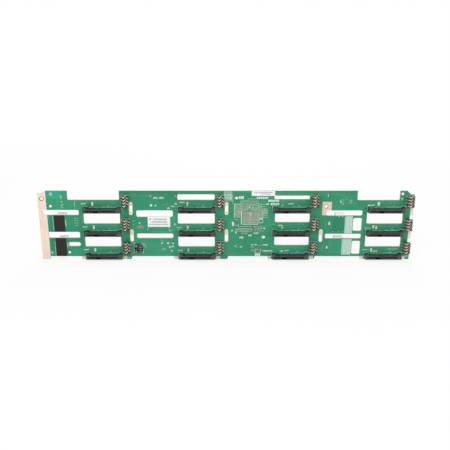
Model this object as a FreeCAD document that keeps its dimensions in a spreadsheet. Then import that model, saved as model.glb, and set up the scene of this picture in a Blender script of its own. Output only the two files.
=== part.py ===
"""Drive backplane board: a 12-bay board of four drive columns by three drive rows.

The board stands upright as it does in the server. X runs to the right along the board, Z runs up, and
the front face, which the drives plug into, lies in the plane Y = 0 and faces -Y. The origin is midway
between the two mounting holes. Distances "across" start at the board's left edge, and distances "up"
at the ends of its bottom tabs.
"""
import FreeCAD, Part
import os

import Sketcher

COLUMNS = (1, 2, 3, 4)
ROWS = (1, 2, 3)
FINS = 11
SIGNALS = 7
POWERS = 15
PIN_ROWS = 4
# Most of an air slot's height that one of its rounded corners may take.
ROUND_SHARE = 0.45
# The leaf springs on each side of a carrier block: middle of the lowest, and how many.
LEAVES = {"left": ("-1.5 * Sizes.leaf_pitch", 4), "right": ("-Sizes.leaf_pitch", 3)}

# Driving sizes in millimetres: alias, value, what it is.
SIZES = [
    ("column_pitch", 108.35, "one drive column to the next"),
    ("row_pitch", 28.0, "one drive row to the next"),
    ("left_margin", 73.3, "board's left edge to the middle of the first column"),
    ("edge_spare", 0.45, "last column's carrier blocks to the board's right edge"),
    ("top_margin", 24.8, "underside of the top row's sockets to the board's top edge"),
    ("tab_reach", 2.0, "underside of the bottom row's sockets down to the tab ends"),
    ("board_thick", 2.0, "board thickness"),
    ("skirt_rise", 3.65, "tab ends up to the board's bottom edge"),
    ("tab_slant", 1.6, "how far a tab's end leans in"),
    ("tab_left_1", 27.8, "column 1 to the left end of its tab"),
    ("tab_left_2", 28.2, "column 2 to the left end of its tab"),
    ("tab_left_3", 27.2, "column 3 to the left end of its tab"),
    ("tab_left_4", 27.5, "column 4 to the left end of its tab"),
    ("tab_right_1", 32.2, "column 1 to the right end of its tab"),
    ("tab_right_2", 36.3, "column 2 to the right end of its tab"),
    ("tab_right_3", 29.3, "column 3 to the right end of its tab"),
    ("strip_width", 8.8, "bare ground strip along the left edge"),
    ("strip_drop", 3.4, "top edge down to the strip's own top"),
    ("strip_flat", 4.3, "level part of the strip's top"),
    ("strip_run", 4.7, "slanted part of the strip's top, across"),
    ("notch_left_start", 39.3, "column 1 left to the start of the left notch"),
    ("notch_left_end", 19.8, "column 1 right to the end of the left notch"),
    ("notch_left_deep", 10.8, "depth of the left notch in the top edge"),
    ("notch_right_start", 33.65, "column 4 left to the start of the right notch"),
    ("notch_right_end", 14.75, "column 4 right to the end of the right notch"),
    ("notch_right_deep", 11.0, "depth of the right notch in the top edge"),
    ("ear_across", 8.6, "slanted corner at the top right, across"),
    ("ear_down", 4.4, "slanted corner at the top right, down"),
    ("ear_step", 4.3, "level step between the slanted corner and the right edge"),
    ("nick_deep", 3.3, "depth of the nicks in the right edge"),
    ("nick_tall", 4.5, "height of the nicks in the right edge"),
    ("nick_fall", 4.7, "socket underside down to the top of a nick"),
    ("corner_round", 1.6, "corner radius of the notches"),
    ("window_round", 1.5, "corner radius of the windows"),
    ("window_gap", 0.5, "socket underside down to the top of a window"),
    ("window_fall", 14.35, "socket underside down to the sill of a window"),
    ("window_fall_3", 12.6, "the same in column 3"),
    ("window_left_1", 22.15, "column 1 to the left side of its windows"),
    ("window_left_2", 22.0, "column 2 to the left side of its windows"),
    ("window_left_3", 18.65, "column 3 to the left side of its windows"),
    ("window_left_4", 21.4, "column 4 to the left side of its windows"),
    ("window_right_1", 19.75, "column 1 to the right side of its windows"),
    ("window_right_2", 20.3, "column 2 to the right side of its windows"),
    ("window_right_3", 21.25, "column 3 to the right side of its windows"),
    ("window_right_4", 19.9, "column 4 to the right side of its windows"),
    ("slot_round", 1.8, "corner radius of the air slots"),
    ("hole_wide", 4.0, "mounting hole diameter"),
    ("hole_left_inset", 4.7, "left mounting hole from the left edge"),
    ("hole_left_drop", 9.4, "left mounting hole from the top edge"),
    ("hole_right_offset", 39.6, "right mounting hole to the right of column 3"),
    ("hole_right_drop", 18.5, "right mounting hole from the top edge"),
    ("tooling_wide", 3.2, "diameter of the tooling holes"),
    ("tooling_inset", 14.1, "upper left tooling hole from the left edge"),
    ("tooling_drop", 18.3, "upper left tooling hole from the top edge"),
    ("tooling_low_inset", 32.0, "lower left tooling hole from the left edge"),
    ("tooling_low_rise", 8.4, "lower left tooling hole above the tab ends"),
    ("tooling_ear_offset", 2.8, "upper right tooling hole from the end of the right notch"),
    ("tooling_ear_drop", 3.6, "upper right tooling hole from the top edge"),
    ("ground_wide", 3.2, "width of the slots in the upright ground pads"),
    ("ground_tall", 7.8, "height of the slots in the upright ground pads"),
    ("ground_offset_1", 32.6, "column 1 to the ground pads on its right"),
    ("ground_offset_2", 33.95, "column 2 to the ground pads on its right"),
    ("ground_offset_3", 34.9, "column 3 to the ground pad on its right"),
    ("ground_rise", 0.6, "row's socket underside above the foot of a pad's slot, upper pads"),
    ("ground_rise_low", 8.3, "the same, lower pads"),
    ("socket_long", 42.6, "drive socket length"),
    ("socket_deep", 7.6, "drive socket depth out of the board"),
    ("socket_low", 4.2, "height of the socket's body"),
    ("socket_high", 6.2, "height of the socket's end posts"),
    ("post_wide", 3.6, "width of an end post at its top"),
    ("post_slope", 1.6, "slant from a post down to the body"),
    ("post_taper", 1.1, "lead-in at the front of a post"),
    ("slot_left_wall", 2.5, "housing left of the plug slot"),
    ("slot_end_room", 1.65, "last power contact to the slot's right side"),
    ("slot_deep", 6.2, "depth of the plug slot"),
    ("lip_low", 1.5, "wall below the plug slot"),
    ("lip_high", 1.1, "wall above the plug slot"),
    ("key_gap", 0.6, "key notch to the middle of the contact beside it"),
    ("key_floor", 0.5, "wall left below the key notch"),
    ("contact_pitch", 1.27, "one contact to the next"),
    ("contact_inset", 1.2, "slot's left side to the first signal contact"),
    ("contact_jump", 6.35, "last signal contact to the first power contact"),
    ("contact_wide", 0.6, "contact width"),
    ("contact_thick", 0.25, "contact thickness"),
    ("contact_set_back", 0.6, "contact tip behind the housing's front"),
    ("contact_lift", 0.45, "rise of a contact's spring over the slot floor"),
    ("contact_foot", 1.6, "flat foot of a contact at the back of the slot"),
    ("block_beside", 1.0, "carrier block beside the end of its drive socket, across"),
    ("block_rise", 12.7, "socket underside up to the middle of the carrier block"),
    ("block_wide", 8.4, "carrier block width"),
    ("block_rim", 0.35, "carrier block beyond its top and bottom cells"),
    ("block_deep", 5.0, "carrier block depth out of the board"),
    ("cell_wide", 3.9, "cell for one leaf spring, from the block's side in"),
    ("leaf_pitch", 3.5, "one leaf spring to the next in its column"),
    ("leaf_tall", 1.2, "leaf spring width"),
    ("leaf_gap", 0.12, "leaf spring to the sides of its cell"),
    ("leaf_thick", 0.25, "leaf spring thickness"),
    ("leaf_stand", 2.0, "crest of a leaf in front of the block"),
    ("leaf_crest", 2.5, "crest of a leaf from the block's side, across"),
    ("leaf_rise", 2.8, "board up to the bend at the foot of a leaf"),
    ("leaf_dip", 0.6, "tip of a leaf below the block's front"),
    ("leaf_short", 0.3, "tip of a leaf to the inner end of its cell"),
    ("pad_across", 23.0, "left edge to the middle of the insulating pads"),
    ("pad_wide", 12.1, "insulating pad width"),
    ("pad_thick", 0.5, "insulating pad thickness"),
    ("pad_gap", 0.2, "insulating pad short of the slots and edges beside it"),
    ("header_across", 24.0, "left edge to the middle of the power headers"),
    ("header_wide", 9.8, "power header width"),
    ("header_tall", 19.6, "power header height"),
    ("header_deep", 12.0, "power header depth behind the board"),
    ("header_wall", 0.9, "power header wall"),
    ("header_floor", 2.2, "power header floor"),
    ("latch_wide", 3.4, "latch ramp on a power header"),
    ("latch_out", 1.1, "how far the latch ramp stands out"),
    ("pin_thick", 1.1, "power header pin"),
    ("pin_long", 7.6, "power header pin above the header floor"),
    ("pin_pitch", 4.2, "power header pin pitch"),
    ("data_offset", 51.15, "data receptacles left of column 4"),
    ("data_wide", 10.6, "data receptacle width"),
    ("data_tall", 21.6, "data receptacle height"),
    ("data_deep", 12.0, "data receptacle depth behind the board"),
    ("data_wall", 1.0, "data receptacle wall"),
    ("data_floor", 2.6, "data receptacle floor"),
    ("data_drop", 4.6, "socket underside down to the top of a data receptacle"),
    ("tongue_thick", 1.2, "contact tongue of a data receptacle"),
    ("tongue_short", 1.4, "tongue end to the receptacle's end walls"),
    ("tongue_back", 1.8, "tongue edge below the receptacle's mouth"),
    ("chip_offset", 47.3, "expander chip left of column 3"),
    ("chip_rise", 21.2, "expander chip above the row 2 socket underside"),
    ("chip_wide", 27.0, "expander chip side"),
    ("chip_thick", 1.7, "expander chip substrate"),
    ("lid_wide", 21.0, "expander chip lid side"),
    ("lid_thick", 1.0, "expander chip lid thickness"),
    ("sink_wide", 40.0, "heat sink side"),
    ("sink_base", 2.2, "heat sink base thickness"),
    ("sink_tall", 9.6, "heat sink height"),
    ("fin_thick", 1.0, "heat sink fin thickness"),
    ("ear_wide", 8.0, "heat sink ear width"),
    ("ear_margin", 3.9, "heat sink ear beyond the middle of its push pin"),
    ("push_across", 15.7, "push pin from the chip's middle, across"),
    ("push_beyond", 3.5, "push pin beyond the edge of the heat sink's base"),
    ("push_wide", 3.0, "push pin shank diameter"),
    ("push_gap", 0.1, "push pin shank to its hole, all round"),
    ("push_head", 5.6, "push pin head diameter"),
    ("push_head_thick", 1.6, "push pin head thickness"),
    ("push_barb", 3.9, "push pin barbs across, from point to point"),
    ("push_prong", 1.7, "push pin barb width, up"),
    ("push_tip", 2.2, "push pin tip in front of the board"),
    ("label_thick", 0.12, "paper label thickness"),
    ("label_large_wide", 25.9, "large label width"),
    ("label_large_tall", 12.0, "large label height"),
    ("label_large_left", 56.85, "large label's left edge before column 2"),
    ("label_large_rise", 9.8, "large label's foot above the row 2 socket underside"),
    ("label_small_wide", 26.5, "small label width"),
    ("label_small_tall", 5.7, "small label height"),
    ("label_small_left", 45.8, "small label's left edge before column 3"),
    ("label_small_drop", 0.2, "small label below the top edge"),
    ("switch_across", 35.1, "first power switch right of column 1"),
    ("switch_rise", 6.6, "first power switch above the row 3 socket underside"),
    ("switch_wide", 4.2, "power switch width"),
    ("switch_tall", 4.7, "power switch height"),
    ("switch_thick", 1.7, "power switch thickness"),
    ("switch_pitch", 5.2, "one power switch to the next, across"),
    ("switch_step", 5.8, "one power switch to the next, up"),
]

# Air slots: name, what the left and right sides are measured from, then how far off they are; what the foot
# and the top are measured from, and how far off.
SLOTS = [
    ("slot_top_2", "column_2", -22.15, "column_2", 20.45, "board_tall", -10.7, -4.2),
    ("slot_top_3", "column_3", -20.0, "column_3", 20.7, "board_tall", -9.9, -5.7),
    ("slot_left_1", "left_edge", 4.2, "column_1", -27.3, "row_1", -4.0, 2.1),
    ("slot_left_2", "left_edge", 9.1, "column_1", -27.6, "row_2", -3.8, 3.6),
    ("slot_left_3", "column_1", -41.7, "column_1", -27.7, "row_3", 14.0, 19.0),
    ("slot_mid_1", "column_1", 38.7, "column_2", -27.75, "row_1", -6.2, 1.6),
    ("slot_mid_2", "column_1", 38.5, "column_2", -27.75, "row_2", -4.0, 1.6),
    ("slot_right_1", "column_3", 40.2, "column_4", -26.75, "row_1", -4.6, 1.5),
    ("slot_right_2", "column_3", 39.9, "column_4", -26.75, "row_2", -4.35, 1.3),
    ("slot_right_3", "column_4", -36.85, "column_4", -26.85, "row_2", 4.9, 20.4),
    ("slot_right_4", "column_4", -36.75, "column_4", -26.95, "row_3", 4.4, 20.6),
]

# Places worked out from the driving sizes: name, expression.
PLACES = [
    ("left_edge", "0"),
    ("column_1", "Sizes.left_margin"),
    ("column_2", "Sizes.left_margin + Sizes.column_pitch"),
    ("column_3", "Sizes.left_margin + 2 * Sizes.column_pitch"),
    ("column_4", "Sizes.left_margin + 3 * Sizes.column_pitch"),
    ("row_1", "Sizes.tab_reach + 2 * Sizes.row_pitch"),
    ("row_2", "Sizes.tab_reach + Sizes.row_pitch"),
    ("row_3", "Sizes.tab_reach"),
    ("block_across", "Sizes.socket_long / 2 + Sizes.block_beside + Sizes.block_wide / 2"),
    ("board_wide", "Places.column_4 + Places.block_across + Sizes.block_wide / 2 + Sizes.edge_spare"),
    ("board_tall", "Sizes.tab_reach + 2 * Sizes.row_pitch + Sizes.top_margin"),
    ("hole_left_across", "Sizes.hole_left_inset"),
    ("hole_left_up", "Places.board_tall - Sizes.hole_left_drop"),
    ("hole_right_across", "Places.column_3 + Sizes.hole_right_offset"),
    ("hole_right_up", "Places.board_tall - Sizes.hole_right_drop"),
    ("origin_across", "(Places.hole_left_across + Places.hole_right_across) / 2"),
    ("origin_up", "(Places.hole_left_up + Places.hole_right_up) / 2"),
    ("first_signal", "Sizes.slot_left_wall + Sizes.contact_inset - Sizes.socket_long / 2"),
    ("last_signal", "Places.first_signal + %d * Sizes.contact_pitch" % (SIGNALS - 1)),
    ("first_power", "Places.last_signal + Sizes.contact_jump"),
    ("last_power", "Places.first_power + %d * Sizes.contact_pitch" % (POWERS - 1)),
    ("cell_half", "Sizes.leaf_tall / 2 + Sizes.leaf_gap"),
    ("block_half", "1.5 * Sizes.leaf_pitch + Places.cell_half + Sizes.block_rim"),
    ("bridge_foot", "Places.row_2 + Sizes.slot_left_2_top"),
    ("bridge_top", "Places.row_1 + Sizes.slot_left_1_foot"),
    ("skirt_top", "Places.row_2 + Sizes.slot_left_2_foot"),
    ("push_up", "Sizes.sink_wide / 2 + Sizes.push_beyond"),
    ("chip_across", "Places.column_3 - Sizes.chip_offset"),
    ("chip_up", "Places.row_2 + Sizes.chip_rise"),
    ("sink_back", "Sizes.board_thick + Sizes.chip_thick + Sizes.lid_thick"),
]

doc = FreeCAD.newDocument("DriveBackplane")


def fill_sheet():
    """Writes the driving sizes into the sheet, one row each, and names their cells."""
    sheet = doc.addObject("Spreadsheet::Sheet", "Sizes")
    rows = list(SIZES)
    for name, _, left, _, right, _, foot, top in SLOTS:
        for end, number in (("left", left), ("right", right), ("foot", foot), ("top", top)):
            rows.append((name + "_" + end, number, end + " of " + name.replace("_", " ")))
    for line, (alias, number, note) in enumerate(rows, start=1):
        sheet.set("A%d" % line, note)
        sheet.set("B%d" % line, str(number))
        sheet.setAlias("B%d" % line, alias)
    doc.recompute()
    return sheet


def fill_places():
    """Works out the shared places from the driving sizes."""
    places = doc.addObject("App::VarSet", "Places")
    for name, text in PLACES:
        places.addProperty("App::PropertyFloat", name)
    for name, text in PLACES:
        places.setExpression(name, text)
    doc.recompute()
    return places


sizes = fill_sheet()
places = fill_places()


def value(text):
    """The number that an expression stands for."""
    return float(sizes.evalExpression(str(text)))


def origin_feature(body, role):
    """One of a body's own origin planes or axes, by its role."""
    for feature in body.Origin.OriginFeatures:
        if feature.Role == role:
            return feature
    raise ValueError(role)


def new_body(label):
    """An empty body, named after its piece."""
    body = doc.addObject("PartDesign::Body", label)
    body.Label = label
    return body


def new_sketch(body, plane="XZ_Plane", offset=None):
    """A sketch on one of the body's own planes, moved along the plane's normal by an expression."""
    sketch = body.newObject("Sketcher::SketchObject", "Sketch")
    sketch.AttachmentSupport = [(origin_feature(body, plane), "")]
    sketch.MapMode = "FlatFace"
    if offset is not None:
        sketch.setExpression("AttachmentOffset.Base.z", offset)
    return sketch


def bind(sketch, kind, *places_and_text):
    """Adds one dimension to a sketch and ties it to an expression."""
    text = places_and_text[-1]
    number = sketch.addConstraint(Sketcher.Constraint(kind, *places_and_text[:-1], value(text)))
    sketch.setExpression("Constraints[%d]" % number, str(text))


def outline(sketch, points):
    """Draws a closed outline through points, each a pair of expressions."""
    first = sketch.GeometryCount
    corners = [FreeCAD.Vector(value(across), value(up), 0) for across, up in points]
    following = corners[1:] + corners[:1]
    sketch.addGeometry([Part.LineSegment(a, b) for a, b in zip(corners, following)], False)
    for index, (across, up) in enumerate(points):
        before = first + (index - 1) % len(points)
        sketch.addConstraint(Sketcher.Constraint("Coincident", before, 2, first + index, 1))
        bind(sketch, "DistanceX", -1, 1, first + index, 1, across)
        bind(sketch, "DistanceY", -1, 1, first + index, 1, up)


def rectangle(sketch, left, right, foot, top):
    """Draws a rectangle between four expressions."""
    outline(sketch, [(left, foot), (right, foot), (right, top), (left, top)])


def circle(sketch, across, up, diameter):
    """Draws a circle about a point, both from expressions."""
    centre = FreeCAD.Vector(value(across), value(up), 0)
    index = sketch.addGeometry(Part.Circle(centre, FreeCAD.Vector(0, 0, 1), value(diameter) / 2), False)
    bind(sketch, "DistanceX", -1, 1, index, 3, across)
    bind(sketch, "DistanceY", -1, 1, index, 3, up)
    bind(sketch, "Diameter", index, diameter)


def pad(body, sketch, length, reverse=False, middle=False):
    """Pads a sketch by an expression."""
    feature = body.newObject("PartDesign::Pad", "Pad")
    feature.Profile = sketch
    feature.Reversed = reverse
    feature.Midplane = middle
    feature.setExpression("Length", length)
    body.Tip = feature
    return feature


def pocket(body, sketch, length=None, reverse=False):
    """Cuts a sketch into a body by an expression, or right through it."""
    feature = body.newObject("PartDesign::Pocket", "Pocket")
    feature.Profile = sketch
    feature.Reversed = reverse
    if length is None:
        feature.Type = "ThroughAll"
    else:
        feature.setExpression("Length", length)
    body.Tip = feature
    return feature


def pattern(body, feature, axis, pitch, count):
    """Repeats a feature along one of the body's axes."""
    repeat = body.newObject("PartDesign::LinearPattern", "Pattern")
    repeat.Originals = [feature]
    repeat.Direction = (origin_feature(body, axis), [""])
    repeat.Mode = "Spacing"
    repeat.setExpression("Offset", pitch)
    repeat.Occurrences = count
    body.Tip = repeat
    return repeat


def round_corners(body, corners, radius):
    """Rounds the board's edges that run through its thickness at the given corners."""
    doc.recompute()
    base = body.Tip
    wanted = [(value(across), value(up)) for across, up in corners]
    names = []
    for number, edge in enumerate(base.Shape.Edges, start=1):
        start, end = edge.Vertexes[0].Point, edge.Vertexes[-1].Point
        if abs(start.x - end.x) > 1e-6 or abs(start.z - end.z) > 1e-6:
            continue
        if any(abs(start.x - x) < 1e-4 and abs(start.z - z) < 1e-4 for x, z in wanted):
            names.append("Edge%d" % number)
    if len(names) != len(wanted):
        raise ValueError("%d corners found of %d" % (len(names), len(wanted)))
    feature = body.newObject("PartDesign::Fillet", "Fillet")
    feature.Base = (base, names)
    feature.setExpression("Radius", radius)
    body.Tip = feature
    return feature


def seat(piece, across, up, out="0"):
    """Places a piece: across and up the board, and out along Y from its front face."""
    piece.setExpression("Placement.Base.x", "%s - Places.origin_across" % across)
    piece.setExpression("Placement.Base.z", "%s - Places.origin_up" % up)
    piece.setExpression("Placement.Base.y", out)


def window_sides(column, row):
    """Left, right, foot and top of the air window under a socket."""
    fall = "Sizes.window_fall_3" if column == 3 else "Sizes.window_fall"
    return ("Places.column_%d - Sizes.window_left_%d" % (column, column),
            "Places.column_%d + Sizes.window_right_%d" % (column, column),
            "Places.row_%d - %s" % (row, fall),
            "Places.row_%d - Sizes.window_gap" % row)


def slot_sides(slot):
    """Left, right, foot and top of an air slot."""
    name, left_from, _, right_from, _, up_from, _, _ = slot
    return ("Places.%s + Sizes.%s_left" % (left_from, name),
            "Places.%s + Sizes.%s_right" % (right_from, name),
            "Places.%s + Sizes.%s_foot" % (up_from, name),
            "Places.%s + Sizes.%s_top" % (up_from, name))


def corners_of(sides):
    """The four corners of a rectangle given by its sides."""
    left, right, foot, top = sides
    return [(left, foot), (right, foot), (right, top), (left, top)]


def board_edge():
    """The board's outline, from its lower left corner round by its top."""
    top = "Places.board_tall"
    right = "Places.board_wide"
    nick = "Places.board_wide - Sizes.nick_deep"
    skirt = "Sizes.skirt_rise"
    strip_top = "Places.board_tall - Sizes.strip_drop"
    points = [("0", "0"), ("0", strip_top), ("Sizes.strip_flat", strip_top),
              ("Sizes.strip_flat + Sizes.strip_run", top)]
    points += notch("left", 1)
    points += notch("right", 4)
    step = "Places.board_tall - Sizes.ear_down"
    points += [("Places.board_wide - Sizes.ear_across", top), ("Places.board_wide - Sizes.ear_step", step),
               (right, step)]
    for row in (1, 2):
        high = "Places.row_%d - Sizes.nick_fall" % row
        low = high + " - Sizes.nick_tall"
        points += [(right, high), (nick, high), (nick, low), (right, low)]
    points += [(right, "0")]
    for column in reversed(COLUMNS):
        left = "Places.column_%d - Sizes.tab_left_%d" % (column, column)
        if column != COLUMNS[-1]:
            end = "Places.column_%d + Sizes.tab_right_%d" % (column, column)
            points += [(end, skirt), (end + " - Sizes.tab_slant", "0")]
        points += [(left + " + Sizes.tab_slant", "0"), (left, skirt)]
    points += [("Sizes.strip_width", skirt), ("Sizes.strip_width", "0")]
    return points


def notch(side, column):
    """The four corners of a notch in the top edge."""
    top = "Places.board_tall"
    floor = "Places.board_tall - Sizes.notch_%s_deep" % side
    start = "Places.column_%d - Sizes.notch_%s_start" % (column, side)
    end = "Places.column_%d + Sizes.notch_%s_end" % (column, side)
    return [(start, top), (start, floor), (end, floor), (end, top)]


def ground_slots():
    """Middle and foot of each slot in the upright ground pads; column 3 has only the lower one."""
    spots = []
    for column in (1, 2, 3):
        across = "Places.column_%d + Sizes.ground_offset_%d" % (column, column)
        if column != 3:
            spots.append((across, "Places.row_1 - Sizes.ground_rise"))
        spots.append((across, "Places.row_2 - Sizes.ground_rise_low"))
    return spots


def push_spots():
    """Middles of the heat sink's two push pins."""
    return [("Places.chip_across - Sizes.push_across", "Places.chip_up + Places.push_up"),
            ("Places.chip_across + Sizes.push_across", "Places.chip_up - Places.push_up")]


def make_board():
    """The bare circuit board: outline, windows, air slots, ground slots and holes."""
    body = new_body("board")
    sketch = new_sketch(body)
    outline(sketch, board_edge())
    pad(body, sketch, "Sizes.board_thick", reverse=True)

    windows = [window_sides(column, row) for column in COLUMNS for row in (1, 2)]
    slots = [slot_sides(slot) for slot in SLOTS]
    for group in (windows, slots):
        sketch = new_sketch(body)
        for sides in group:
            rectangle(sketch, *sides)
        pocket(body, sketch)

    sketch = new_sketch(body)
    for across, foot in ground_slots():
        rectangle(sketch, across + " - Sizes.ground_wide / 2", across + " + Sizes.ground_wide / 2",
                  foot, foot + " + Sizes.ground_tall")
    pocket(body, sketch)

    sketch = new_sketch(body)
    circle(sketch, "Places.hole_left_across", "Places.hole_left_up", "Sizes.hole_wide")
    circle(sketch, "Places.hole_right_across", "Places.hole_right_up", "Sizes.hole_wide")
    circle(sketch, "Sizes.tooling_inset", "Places.board_tall - Sizes.tooling_drop", "Sizes.tooling_wide")
    circle(sketch, "Sizes.tooling_low_inset", "Sizes.tooling_low_rise", "Sizes.tooling_wide")
    circle(sketch, "Places.column_4 + Sizes.notch_right_end + Sizes.tooling_ear_offset",
           "Places.board_tall - Sizes.tooling_ear_drop", "Sizes.tooling_wide")
    for across, up in push_spots():
        circle(sketch, across, up, "Sizes.push_wide + 2 * Sizes.push_gap")
    pocket(body, sketch)

    notch_floors = notch("left", 1)[1:3] + notch("right", 4)[1:3]
    round_corners(body, notch_floors, "Sizes.corner_round")
    round_corners(body, [corner for sides in windows for corner in corners_of(sides)], "Sizes.window_round")
    heights = ["%s * (%s - (%s))" % (ROUND_SHARE, top, foot) for _, _, foot, top in slots]
    round_corners(body, [corner for sides in slots for corner in corners_of(sides)],
                  "min(%s)" % "; ".join(["Sizes.slot_round"] + heights))
    seat(body, "0", "0")
    return body


def make_socket(label, column, row):
    """A moulded drive socket: end posts, a long plug slot with a key notch, and tapered post noses."""
    body = new_body(label)
    half = "Sizes.socket_long / 2"
    sketch = new_sketch(body)
    inner = half + " - Sizes.post_wide"
    foot = inner + " - Sizes.post_slope"
    outline(sketch, [("-" + half, "0"), (half, "0"), (half, "Sizes.socket_high"),
                     (inner, "Sizes.socket_high"), (foot, "Sizes.socket_low"),
                     ("-(%s)" % foot, "Sizes.socket_low"), ("-(%s)" % inner, "Sizes.socket_high"),
                     ("-" + half, "Sizes.socket_high")])
    pad(body, sketch, "Sizes.socket_deep")

    sketch = new_sketch(body, offset="Sizes.socket_deep")
    left = "Sizes.slot_left_wall - " + half
    right = "Places.last_power + Sizes.slot_end_room"
    key = "Places.last_signal + Sizes.key_gap"
    key_end = "Places.first_power - Sizes.key_gap"
    slot_top = "Sizes.socket_low - Sizes.lip_high"
    outline(sketch, [(left, "Sizes.lip_low"), (key, "Sizes.lip_low"), (key, "Sizes.key_floor"),
                     (key_end, "Sizes.key_floor"), (key_end, "Sizes.lip_low"), (right, "Sizes.lip_low"),
                     (right, slot_top), (left, slot_top)])
    pocket(body, sketch, "Sizes.slot_deep")

    sketch = new_sketch(body, "XY_Plane")
    nose = "-Sizes.socket_deep"
    shoulder = "Sizes.post_taper - Sizes.socket_deep"
    for sign in ("-1", "1"):
        edge = "%s * %s" % (sign, half)
        tip = "%s * (%s - Sizes.post_taper)" % (sign, half)
        outline(sketch, [(edge, shoulder), (edge, nose), (tip, nose)])
    pocket(body, sketch, reverse=True)
    seat(body, "Places.column_%d" % column, "Places.row_%d" % row)
    return body


def make_contacts(label, column, row):
    """The contacts in one socket: those for signals, then those for power, each a sprung strip."""
    body = new_body(label)
    back = "Sizes.slot_deep - Sizes.socket_deep"
    toe = back + " - Sizes.contact_foot"
    tip = "Sizes.contact_set_back - Sizes.socket_deep"
    rise = "Sizes.lip_low + Sizes.contact_lift"
    for start, count in (("Places.first_signal", SIGNALS), ("Places.first_power", POWERS)):
        sketch = new_sketch(body, "YZ_Plane", start)
        outline(sketch, [(back, "Sizes.lip_low"), (toe, "Sizes.lip_low"), (tip, rise),
                         (tip, rise + " + Sizes.contact_thick"),
                         (back, "Sizes.lip_low + Sizes.contact_thick")])
        strip = pad(body, sketch, "Sizes.contact_wide", middle=True)
        pattern(body, strip, "X_Axis", "Sizes.contact_pitch", count)
    seat(body, "Places.column_%d" % column, "Places.row_%d" % row)
    return body


def make_block(label, column, row):
    """A moulded carrier block: a spine with open cells, four on its left, three on its right."""
    body = new_body(label)
    half = "Sizes.block_wide / 2"
    sketch = new_sketch(body)
    rectangle(sketch, "-" + half, half, "-Places.block_half", "Places.block_half")
    pad(body, sketch, "Sizes.block_deep")
    for side, (foot, count) in LEAVES.items():
        sketch = new_sketch(body, offset="Sizes.block_deep")
        inner = "(%s - Sizes.cell_wide)" % half
        ends = ("-" + half, "-" + inner) if side == "left" else (inner, half)
        rectangle(sketch, ends[0], ends[1], foot + " - Places.cell_half", foot + " + Places.cell_half")
        cell = pocket(body, sketch, "Sizes.block_deep")
        pattern(body, cell, "Z_Axis", "Sizes.leaf_pitch", count)
    seat(body, "Places.column_%d + Places.block_across" % column, "Places.row_%d + Sizes.block_rise" % row)
    return body


def make_springs(label, column, row):
    """Seven bent leaf springs: each stands on the board, crests in front of the block and dips."""
    body = new_body(label)
    side_face = "Sizes.block_wide / 2"
    bend = "-Sizes.leaf_rise"
    crest = "-(Sizes.block_deep + Sizes.leaf_stand)"
    for side, (foot, count) in LEAVES.items():
        sign = "-1" if side == "left" else "1"
        sketch = new_sketch(body, "XY_Plane", "%s - Sizes.leaf_tall / 2" % foot)
        outer = "%s * %s" % (sign, side_face)
        inside = "%s * (%s - Sizes.leaf_thick)" % (sign, side_face)
        top = "%s * (%s - Sizes.leaf_crest)" % (sign, side_face)
        tip = "%s * (%s - Sizes.cell_wide + Sizes.leaf_short)" % (sign, side_face)
        dip = "Sizes.leaf_dip - Sizes.block_deep"
        outline(sketch, [(outer, "0"), (outer, bend), (top, crest), (tip, dip),
                         (top, crest + " + Sizes.leaf_thick"), (inside, bend + " + Sizes.leaf_thick"),
                         (inside, "0")])
        leaf = pad(body, sketch, "Sizes.leaf_tall")
        pattern(body, leaf, "Z_Axis", "Sizes.leaf_pitch", count)
    seat(body, "Places.column_%d + Places.block_across" % column, "Places.row_%d + Sizes.block_rise" % row)
    return body


def make_header(label, name):
    """A power header behind the board: an open shroud with a latch ramp on its side."""
    body = new_body(label)
    half = "Sizes.header_wide / 2"
    sketch = new_sketch(body)
    rectangle(sketch, "-" + half, half, "-Sizes.header_tall / 2", "Sizes.header_tall / 2")
    pad(body, sketch, "Sizes.header_deep", reverse=True)
    sketch = new_sketch(body)
    rectangle(sketch, half, half + " + Sizes.latch_out", "-Sizes.latch_wide / 2", "Sizes.latch_wide / 2")
    pad(body, sketch, "Sizes.header_deep - Sizes.header_floor", reverse=True)
    sketch = new_sketch(body, offset="-Sizes.header_deep")
    rectangle(sketch, "Sizes.header_wall - " + half, half + " - Sizes.header_wall",
              "Sizes.header_wall - Sizes.header_tall / 2", "Sizes.header_tall / 2 - Sizes.header_wall")
    pocket(body, sketch, "Sizes.header_deep - Sizes.header_floor", reverse=True)
    seat(body, "Sizes.header_across", header_middle(name), "Sizes.board_thick")
    return body


# Foot and top of the two stretches of board that carry the power headers and the pads over their pins.
HEADER_SPANS = {"upper": ("Places.bridge_foot", "Places.bridge_top"),
                "lower": ("Sizes.skirt_rise", "Places.skirt_top")}


def header_middle(name):
    """Height of the middle of a power header."""
    return "(%s + %s) / 2" % HEADER_SPANS[name]


def make_header_pins(label):
    """The pins of both power headers, two columns in each, standing on the header floors."""
    body = new_body(label)
    for name in HEADER_SPANS:
        for side in ("-", "+"):
            sketch = new_sketch(body, offset="-(Sizes.board_thick + Sizes.header_floor)")
            across = "Sizes.header_across %s Sizes.pin_pitch / 2" % side
            foot = header_middle(name) + " - %s * Sizes.pin_pitch" % ((PIN_ROWS - 1) / 2)
            rectangle(sketch, across + " - Sizes.pin_thick / 2", across + " + Sizes.pin_thick / 2",
                      foot + " - Sizes.pin_thick / 2", foot + " + Sizes.pin_thick / 2")
            pin = pad(body, sketch, "Sizes.pin_long", reverse=True)
            pattern(body, pin, "Z_Axis", "Sizes.pin_pitch", PIN_ROWS)
    seat(body, "0", "0")
    return body


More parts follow.
